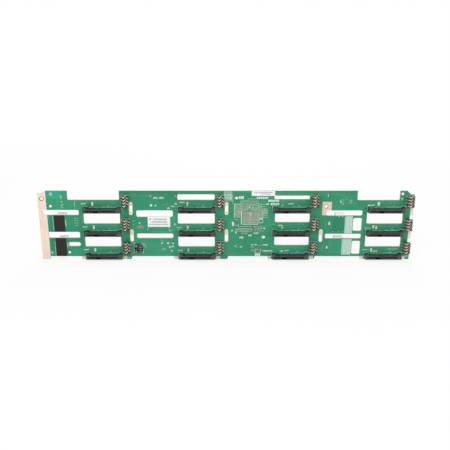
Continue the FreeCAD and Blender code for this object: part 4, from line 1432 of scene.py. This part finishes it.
@dataclass
class Traces:
    """Signal traces below the lacquer and the vias that end them.

    A bundle is how many traces lie side by side, and the bends of its middle line.
    """

    wide: float = 0.22
    thick: float = 0.03
    pitch: float = 0.62
    ends_vary: float = 2.6
    end_via: Spot = (0.30, 0.13)
    bay_via: Spot = (0.28, 0.12)
    bay_field: Box = (-8.0, 7.6, 28.0, 4.4)
    bay_count: int = 4
    bay_shift: float = 0.4
    bundles: tuple[Bundle, ...] = (
        (6, ((263.5, 79.5), (346.0, 79.5), (370.0, 60.5), (372.5, 60.5))),
        (4, ((95.0, 77.0), (128.0, 77.0), (134.5, 70.5), (134.5, 64.8))),
        (4, ((160.0, 80.4), (205.0, 80.4), (210.0, 76.0))),
        (4, ((98.0, 20.5), (104.6, 14.0), (104.6, 5.6), (152.0, 5.6))),
        (5, ((210.5, 6.4), (243.0, 6.4), (256.5, 20.0), (256.5, 27.0))),
        (4, ((257.5, 40.5), (264.5, 40.5), (264.5, 64.0), (272.0, 71.5), (305.0, 71.5))),
        (4, ((209.0, 44.5), (213.5, 49.0), (223.0, 49.0))),
        (4, ((209.0, 16.0), (218.0, 25.0), (218.0, 44.0), (223.0, 47.0))),
        (4, ((319.0, 20.0), (331.0, 8.5), (366.0, 8.5))),
        (3, ((100.0, 45.2), (104.6, 40.6), (104.6, 24.0))),
        (4, ((155.0, 52.5), (155.0, 38.0), (150.4, 33.4), (128.0, 33.4))),
        (5, ((55.0, 69.6), (88.0, 69.6))), (4, ((54.0, 41.6), (90.0, 41.6))),
        (4, ((54.0, 13.6), (90.0, 13.6))), (4, ((162.0, 41.6), (198.0, 41.6))),
        (4, ((162.0, 13.6), (198.0, 13.6))), (4, ((268.0, 43.0), (306.0, 43.0))),
        (4, ((268.0, 15.4), (306.0, 15.4))), (4, ((376.0, 41.6), (414.0, 41.6))),
        (4, ((378.0, 69.6), (410.0, 69.6))))
    rear_bundles: tuple[Bundle, ...] = (
        (6, ((104.0, 78.6), (214.0, 78.6), (226.0, 68.0))),
        (6, ((262.0, 68.0), (272.0, 78.0), (346.0, 78.0), (370.0, 57.0), (371.5, 40.0))),
        (6, ((104.0, 7.0), (206.0, 7.0), (229.0, 30.0))),
        (6, ((256.0, 30.0), (268.0, 14.0), (330.0, 14.0), (352.0, 27.5))),
        (5, ((155.0, 70.5), (155.0, 20.5), (146.0, 11.0))), (5, ((264.0, 56.0), (264.0, 24.0))))

    def dress(self) -> None:
        """Lays the bundles on both sides and drills the vias near the sockets."""
        for side, bundles in ((Side.FRONT, self.bundles), (Side.BACK, self.rear_bundles)):
            word = side.name.lower()
            copper = Work("traces_" + word, MASK_OVER_COPPER, Slot.BOARD, side)
            rings = Work("trace_vias_" + word, TENTED_VIA, Slot.TIN, side)
            for count, points in bundles:
                self.bundle(copper, rings, count, points)
            for bay in BAYS:
                self.bay_vias(rings, bay, side)
            copper.done()
            rings.done()

    def bundle(self, copper: Work, rings: Work, count: int, points: Sequence[Spot]) -> None:
        """Lays traces side by side, each with a via at its ends.

        Args:
            copper: Piece that takes the traces.
            rings: Piece that takes the vias.
            count: How many traces lie side by side.
            points: The middle line's bends.
        """
        for number in range(count):
            shift = (number - (count - 1) / 2) * self.pitch
            path = [here + across * shift / narrow for here, across, narrow in bends_of(points)]
            for end, inner in ((0, 1), (-1, -2)):
                way = (path[inner] - path[end]).normalized()
                path[end] = path[end] + way * spread(number * 3.1 + points[0][0] + end) * self.ends_vary
                rings.ring(tuple(path[end]), *self.end_via, steps=10)
            for run in copper.stretches([tuple(p) for p in path]):
                copper.line(run, self.wide, self.thick)

    def bay_vias(self, rings: Work, bay: Bay, side: Side) -> None:
        """Drills a few vias in the stretch above a socket.

        Args:
            rings: Piece that takes them.
            bay: The socket's bay.
            side: The side of the board; behind, they stand a little to the right.
        """
        left, foot, wide, tall = self.bay_field
        for number in range(self.bay_count):
            across = bay.middle + left + wide * spread(bay.middle + number * 1.7 + bay.underside)
            up = bay.underside + foot + tall * spread(number * 5.3 + bay.underside * 3.1 + bay.middle)
            if side is Side.BACK:
                across += self.bay_shift
            rings.ring((across, up), *self.bay_via, steps=10)


@dataclass
class BoardPrint:
    """Loose print, test pads, marks and painted shade round two holes on the front of the board.

    Marks hold their left side, foot, width, height and strokes; dots, pads and rings their middle and radius;
    rims their middle, outer and inner radius; bent lines their place across, foot and height.
    """

    marks: tuple[Mark, ...] = (
        (132.2, 73.3, 5.0, 2.3, 4), (139.0, 73.3, 5.0, 2.3, 4), (152.4, 63.6, 1.6, 1.6, 2),
        (154.8, 63.6, 1.6, 1.4, 2), (257.4, 9.3, 12.2, 1.9, 11), (244.6, 17.0, 2.4, 1.6, 2),
        (248.4, 17.0, 3.0, 1.7, 2), (258.2, 16.8, 5.8, 1.8, 5), (278.2, 64.6, 4.8, 1.6, 4),
        (230.8, 25.0, 4.8, 3.0, 3), (241.2, 28.0, 4.0, 2.5, 3), (247.4, 31.2, 5.6, 1.8, 4),
        (225.4, 14.8, 2.0, 2.0, 2), (231.2, 14.2, 2.8, 1.9, 3), (140.2, 22.4, 1.5, 2.9, 1),
        (403.4, 12.2, 12.4, 0.8, 12), (333.2, 42.0, 1.7, 3.6, 1), (331.9, 13.0, 1.6, 3.2, 1),
        (344.9, 68.8, 1.9, 2.3, 2), (330.9, 75.0, 0.8, 3.6, 1), (149.2, 34.8, 2.4, 1.4, 3),
        (221.2, 34.2, 2.4, 2.0, 2), (258.4, 36.4, 1.6, 2.4, 1), (225.9, 30.9, 1.3, 3.2, 1),
        (151.0, 14.6, 3.6, 1.3, 3), (140.6, 21.9, 1.2, 3.3, 1))
    solid: tuple[Mark, ...] = (
        (249.9, 73.3, 13.4, 2.4, 6), (263.2, 69.8, 12.6, 2.5, 6), (261.0, 66.2, 3.0, 1.7, 2),
        (266.0, 65.9, 10.2, 2.5, 4), (229.8, 73.2, 5.6, 3.4, 3), (248.9, 3.8, 6.4, 2.8, 3),
        (222.0, 41.0, 2.2, 5.0, 1), (226.6, 41.2, 3.2, 1.4, 2), (146.6, 18.7, 1.9, 2.2, 1),
        (152.6, 18.4, 1.7, 2.0, 1), (148.6, 13.6, 1.5, 1.9, 1))
    warm: tuple[Mark, ...] = (
        (244.0, 35.6, 9.6, 0.8, 4), (245.2, 37.6, 8.4, 0.9, 4), (229.0, 35.2, 9.0, 0.7, 4),
        (231.0, 38.6, 6.0, 0.7, 3), (141.0, 66.0, 8.8, 0.9, 3), (147.6, 66.9, 1.6, 1.3, 1),
        (120.2, 13.4, 0.5, 6.6, 1), (148.6, 16.4, 2.2, 0.7, 1), (141.6, 11.8, 2.4, 1.0, 2),
        (150.0, 18.6, 1.5, 1.6, 1), (112.4, 37.4, 6.6, 0.5, 3), (329.2, 39.0, 0.7, 8.8, 1),
        (327.2, 10.0, 0.6, 7.6, 1), (250.9, 8.0, 3.0, 2.8, 2), (353.2, 67.4, 4.6, 0.4, 2),
        (352.4, 72.2, 5.4, 0.4, 2))
    faint: tuple[Mark, ...] = (
        (41.7, 64.2, 0.5, 6.6, 1), (29.6, 41.0, 1.1, 7.2, 1), (30.0, 13.2, 1.0, 7.0, 1),
        (119.8, 13.6, 0.5, 6.0, 1), (121.4, 13.6, 0.4, 6.0, 1), (99.5, 0.6, 4.2, 2.4, 2))
    dots: tuple[Triple, ...] = (
        (129.2, 65.7, 1.35), (134.4, 65.4, 0.95), (108.4, 46.6, 0.5), (108.3, 42.9, 0.5),
        (116.4, 41.6, 0.45), (125.1, 38.3, 0.5), (124.3, 36.4, 0.5), (338.6, 34.3, 0.4),
        (345.2, 34.3, 0.4), (350.2, 34.3, 0.4), (345.0, 52.2, 0.5), (348.9, 52.4, 0.5), (27.4, 63.2, 0.55),
        (27.2, 76.2, 0.7), (26.6, 74.1, 0.6), (27.2, 69.7, 0.7), (28.0, 66.8, 0.6), (26.5, 65.0, 0.5),
        (30.9, 41.0, 0.5), (238.8, 9.0, 0.4), (209.6, 66.0, 0.4), (321.0, 45.0, 0.4))
    pads: tuple[Triple, ...] = (
        (157.6, 67.5, 1.35), (155.9, 42.9, 1.2), (415.5, 73.4, 1.15), (115.4, 44.4, 1.1))
    rings: tuple[Triple, ...] = (
        (11.9, 8.1, 1.5), (426.8, 3.9, 1.2), (151.6, 10.3, 1.1), (140.6, 20.0, 0.9))
    ring_line: float = 0.45
    ring_core: float = 0.42
    square: Box = (14.1, 77.4, 3.1, 3.1)
    stipple_dot: float = 0.43
    stippled: tuple[Box, ...] = (
        (352.1, 31.8, 9.2, 21.0), (350.0, 5.6, 11.4, 19.4))
    test_row: Box = (40.6, 41.3, 2.5, 2.75)
    ellipse: Box = (353.4, 70.0, 5.4, 2.6)
    test_pad: Spot = (1.3, 0.8)
    oval_dots: int = 16
    oval_radius: float = 0.28
    wedge: tuple[Spot, ...] = ((147.4, 61.6), (150.9, 61.6), (149.2, 63.6))
    dash: tuple[Spot, ...] = ((156.7, 77.8), (157.4, 75.6))
    small_box: Box = (248.8, 6.9, 6.6, 5.6)
    line_wide: float = 0.5
    revision: Box = (212.6, 71.9, 9.2, 9.9)
    revision_margin: float = 0.8
    revision_cells: Box = (2.05, 1.75, 1.55, 1.3)
    revision_rings: Box = (2.0, 8.7, 2.7, 0.85)
    revision_lines: tuple[tuple[Spot, ...], ...] = (
        ((214.0, 71.0), (222.8, 71.0)), ((222.6, 78.0), (222.9, 67.6)))
    fine_line: float = 0.35
    corner_gap: float = 0.7
    corner_size: Spot = (2.2, 2.6)
    corner_wide: float = 0.55
    bent: tuple[Triple, ...] = ((336.4, 35.6, 15.0), (335.6, 6.8, 14.4))
    bent_steps: int = 8
    bent_wide: float = 0.4
    bow: float = 2.6
    stipple_pitch: float = 0.8
    tape_line: float = 1.3
    tape_marks: Spot = (17.0, 18.0)
    tape_margin: float = 0.4
    rims: tuple[Box, ...] = (
        (4.7, 73.4, 2.75, 2.02), (329.6, 64.3, 2.5, 2.02))

    def dress(self) -> None:
        """Prints the marks and lays the pads."""
        ink = Work("board_print", SILK, Slot.LABEL)
        faint = Work("faint_print", SILK_FAINT, Slot.LABEL)
        tin = Work("test_pads", PAD_GOLD, Slot.TIN)
        warm = Work("warm_traces", WARM_TRACE, Slot.BOARD)
        rim = Work("hole_rim_shade", RIM_SHADE, Slot.CONTACT)
        # painted shade round the mouths of the holes in the ground strip and the screw pad
        for across, up, outer, inner in self.rims:
            rim.ring((across, up), outer, inner, steps=24, lift=0.05)
        for piece, marks, share in ((ink, self.marks, STROKE_SHARE), (ink, self.solid, SOLID_SHARE),
                                    (warm, self.warm, STROKE_SHARE), (faint, self.faint, STROKE_SHARE)):
            for mark in marks:
                piece.tally(*mark, share=share)
        for across, up, radius in self.dots:
            ink.dot((across, up), radius)
        for across, up, radius in self.pads:
            tin.dot((across, up), radius)
        for across, up, radius in self.rings:
            ink.ring((across, up), radius, radius - self.ring_line)
            tin.dot((across, up), radius * self.ring_core)
        tin.bar(*self.square)
        ink.plate(self.wedge)
        ink.line(self.dash, self.line_wide)
        self.revision_box(ink)
        self.switch_corners(ink)
        self.tape_sides(ink)
        self.curves(warm)
        ink.outline(*self.small_box, self.line_wide)
        self.gold_pads()
        for work in (ink, faint, tin, warm, rim):
            work.done()
        self.stipple()

    def gold_pads(self) -> None:
        """Lays two columns of small test pads on the left, and an oval of dots on the right."""
        gold = Work("small_gold_pads", PAD_GOLD, Slot.CONTACT)
        left, foot, step_across, step_up = self.test_row
        for column in range(2):
            for row in range(4):
                gold.bar(left + column * step_across, foot + row * step_up, *self.test_pad)
        across, up, wide, tall = self.ellipse
        for turn in range(self.oval_dots):
            angle = 2 * math.pi * turn / self.oval_dots
            spot = (across + wide * math.cos(angle), up + tall * math.sin(angle))
            gold.dot(spot, self.oval_radius, steps=8)
        gold.done()

    def revision_box(self, ink: Work) -> None:
        """Prints the small grid of boxes near the top edge.

        Args:
            ink: Piece that takes it.
        """
        left, foot, wide, tall = self.revision
        ink.outline(left, foot, wide, tall, self.fine_line)
        step_across, step_up, cell_wide, cell_tall = self.revision_cells
        for column in range(4):
            for row in range(4):
                ink.bar(left + self.revision_margin + column * step_across,
                        foot + self.revision_margin + row * step_up, cell_wide, cell_tall)
        across, up, step, radius = self.revision_rings
        for column in range(3):
            ink.ring((left + across + column * step, foot + up), radius, radius - self.fine_line, steps=12)
        for line in self.revision_lines:
            ink.line(line, self.fine_line)

    def switch_corners(self, ink: Work) -> None:
        """Prints corner lines round the power switches.

        Args:
            ink: Piece that takes them.
        """
        group, gap = PLACE.reach("power_switches"), self.corner_gap
        arm, leg = self.corner_size
        for across, way in ((group.left - gap, 1), (group.right + gap, -1)):
            for up, rise in ((group.foot - gap, 1), (group.top + gap, -1)):
                bent = [(across + way * arm, up), (across, up), (across, up + rise * leg)]
                ink.line(bent, self.corner_wide)

    def tape_sides(self, ink: Work) -> None:
        """Prints the line left of each insulating pad.

        Args:
            ink: Piece that takes them.
        """
        tape = PLACE.reach("insulating_pads")
        lower, upper = self.tape_marks
        for up, tall in ((tape.foot + self.tape_margin, lower), (tape.top - upper - self.tape_margin, upper)):
            ink.bar(tape.left - self.tape_line, up, self.fine_line, tall)

    def curves(self, warm: Work) -> None:
        """Prints the bent lines left of the data connectors.

        Args:
            warm: Piece that takes them.
        """
        for across, foot, tall in self.bent:
            points = []
            for step in range(self.bent_steps + 1):
                share = step / self.bent_steps
                bow = self.bow * (2 * share - 1) ** 2 * (share > 0.5 or 0.4)
                points.append((across + bow, foot + tall * share))
            warm.line(points, self.bent_wide)

    def stipple(self) -> None:
        """Fills two areas with fine dots beside their pale border."""
        dots = Work("stippled_areas", STIPPLE, Slot.LABEL)
        for left, foot, wide, tall in self.stippled:
            dots.bar(left, foot, self.line_wide, tall)
            pitch = self.stipple_pitch
            for row in range(int(tall / pitch)):
                for column in range(int((wide - pitch) / pitch)):
                    across = left + 1.0 + column * pitch + pitch / 2 * (row % 2)
                    dots.dot((across, foot + pitch / 2 + row * pitch), self.stipple_dot, steps=6)
        dots.done()


@dataclass
class PaperLabels:
    """The two paper labels, with plain grey rows where print would be."""

    rows: tuple[Box, ...] = (
        (126.6, 48.0, 2.4, 1.9), (131.6, 48.2, 15.4, 1.5), (129.4, 45.0, 17.6, 1.7), (126.4, 42.0, 22.4, 1.5),
        (246.8, 79.9, 21.4, 1.4), (254.6, 78.4, 11.4, 0.8))
    stroke: float = 1.0
    share: float = 0.72
    ink_thick: float = 0.02

    def dress(self) -> None:
        """Finishes the labels and lays their grey rows."""
        paint("labels", PAPER)
        thick = PLACE.reach("labels").thick
        rows = Work("label_rows", LABEL_INK, Slot.LABEL)
        for left, foot, wide, tall in self.rows:
            count = max(1, int(wide / self.stroke))
            for stroke in range(count):
                rows.bar(left + stroke * wide / count, foot, self.share * wide / count, tall, self.ink_thick,
                         thick)
        rows.done()


@dataclass
class RearFittings:
    """What stands behind the board: headers, receptacles, chip, heat sink and its pins."""

    header_edge: float = 0.2
    sink_edge: float = 0.12
    outline_gap: float = 0.7
    chip_print: float = 0.3
    switch_tall: float = 4.7
    first_lead: float = 0.5
    lead_pitch: float = 1.4
    lead_size: Triple = (0.8, 0.9, 0.5)
    # painted highlights on the switch tops: left side, foot, width and height from the group's corner
    switch_highlights: tuple[Box, ...] = (
        (1.0, 7.0, 2.0, 2.3), (6.6, 9.4, 2.4, 0.8), (6.4, 6.3, 1.6, 1.2), (6.2, 3.5, 2.2, 0.8),
        (1.4, 0.4, 1.5, 1.7), (6.4, 0.4, 1.5, 1.3))

    def dress(self) -> None:
        """Finishes the fittings and prints an outline round the headers, receptacles and chip."""
        ink = Work("rear_print", SILK, Slot.LABEL, Side.BACK)
        for kind in ("power_header", "data_receptacle"):
            for level in ("upper", "lower"):
                node = f"{kind}_{level}"
                soften(paint(node, HEADER_WHITE), self.header_edge)
                self.ring_round(ink, node)
        paint("power_header_pins", PIN_TIN)
        paint("expander_chip", CHIP_BLACK)
        self.ring_round(ink, "expander_chip")
        soften(paint("heat_sink", SINK_METAL), self.sink_edge)
        for node, finish in (("heat_sink_pins", NYLON), ("insulating_pads", TAPE_BLACK),
                             ("power_switches", CHIP_BLACK)):
            paint(node, finish)
        ink.done()
        self.switch_leads()

    def ring_round(self, ink: Work, node: str) -> None:
        """Prints an outline round a fitting."""
        fitting, gap = PLACE.reach(node), self.outline_gap
        ink.outline(fitting.left - gap, fitting.foot - gap, fitting.wide + 2 * gap, fitting.tall + 2 * gap,
                    self.chip_print)

    def switch_leads(self) -> None:
        """Adds the leads at both sides of the four power switches, and the pale lilac bars on their tops,
        which are painted highlights.
        """
        group = PLACE.reach("power_switches")
        leads = Work("power_switch_leads", PIN_TIN, Slot.TIN)
        # tabs takes the painted highlights: pale lilac bars on the tops of the switch bodies
        tabs = Work("power_switch_highlights", SWITCH_HIGHLIGHT, Slot.TIN)
        wide, tall, high = self.lead_size
        for start in (group.foot, group.top - self.switch_tall):
            for lead in range(3):
                for across in (group.left - wide, group.right):
                    leads.brick(across, start + self.first_lead + lead * self.lead_pitch, wide, tall, high)
        for across, up, wide, tall in self.switch_highlights:
            tabs.bar(group.left + across, group.foot + up, wide, tall, lift=group.thick)
        leads.done()
        tabs.done()


@dataclass
class Studio:
    """The pale floor, the soft lamps and the camera."""

    aim: Spot = (208.2, 42.03)
    distance: float = 0.710
    elevation: float = 18.0
    lens: float = 49.2
    shift: float = 0.0109
    world: float = 0.53
    floor_reach: float = 3.0
    floor_gap: float = 0.0002
    lamps: tuple[tuple[str, tuple[float, float, float], float, float], ...] = (
        ("key_softbox", (-0.55, -1.10, 1.10), 0.9, 8.5), ("fill_softbox", (0.95, -1.00, 0.55), 0.8, 4.2),
        ("top_softbox", (0.05, 0.10, 1.40), 1.2, 4.2), ("rear_softbox", (0.20, 1.20, 0.80), 0.9, 5.0))

    def build(self) -> None:
        """Sets the floor, the world, the lamps and the camera."""
        self.floor()
        self.sky()
        middle = PLACE.point(self.aim[0], self.aim[1], PLACE.front)
        for name, spot, size, power in self.lamps:
            data = bpy.data.lights.new(name, "AREA")
            data.shape = "DISK"
            data.size = size
            data.energy = power
            lamp = add_object(name, data)
            lamp.location = middle + Vector(spot)
            lamp.rotation_euler = (middle - lamp.location).to_track_quat("-Z", "Y").to_euler()
        self.camera(middle)
        bpy.context.scene.view_settings.view_transform = "Standard"

    def floor(self) -> None:
        """Lays the pale floor under the board's lowest point."""
        mesh = bmesh.new()
        bmesh.ops.create_grid(mesh, x_segments=8, y_segments=8, size=self.floor_reach)
        bmesh.ops.translate(mesh, verts=mesh.verts, vec=(0, 0, CAD_BOX[0][2] - self.floor_gap))
        add_mesh("studio_floor", mesh, StudioWhite("studio floor"))

    def sky(self) -> None:
        """Lights the studio evenly; the camera and transmitted rays see it as white."""
        world = bpy.data.worlds.new("studio_air")
        world.use_nodes = True
        nodes, links = world.node_tree.nodes, world.node_tree.links
        shine = nodes["Background"]
        shine.inputs["Color"].default_value = (1.0, 1.0, 1.0, 1.0)
        rays = nodes.new("ShaderNodeLightPath").outputs
        seen = nodes.new("ShaderNodeMath")
        seen.operation = "MAXIMUM"
        links.new(rays["Is Camera Ray"], seen.inputs[0])
        links.new(rays["Is Transmission Ray"], seen.inputs[1])
        level = nodes.new("ShaderNodeMapRange")
        level.inputs["To Min"].default_value = self.world
        level.inputs["To Max"].default_value = 1.0
        links.new(seen.outputs["Value"], level.inputs["Value"])
        links.new(level.outputs["Result"], shine.inputs["Strength"])
        bpy.context.scene.world = world

    def camera(self, middle: Vector) -> None:
        """Stands the camera in front of and above the board.

        Args:
            middle: The place that it looks at.
        """
        data = bpy.data.cameras.new("camera")
        data.lens = self.lens
        data.sensor_width = 36.0
        data.shift_x = self.shift
        data.clip_start = 0.01
        camera = add_object("camera", data)
        tilt = math.radians(self.elevation)
        camera.location = middle + Vector((0, -math.cos(tilt), math.sin(tilt))) * self.distance
        camera.rotation_euler = (math.radians(90 - self.elevation), 0, 0)
        bpy.context.scene.camera = camera


def main() -> None:
    """Dresses the board, then builds the studio."""
    logging.basicConfig(level=logging.INFO)
    parts = (Lacquer(), GroundCopper(), Traces(), DriveSockets(), CarrierBlocks(), SocketPrint(), FanOut(),
             SmallParts(), BoardPrint(), PaperLabels(), RearFittings())
    for part in parts:
        part.dress()
        log.info("dressed: %s", type(part).__name__)
    Studio().build()


if __name__ == "__main__":
    main()
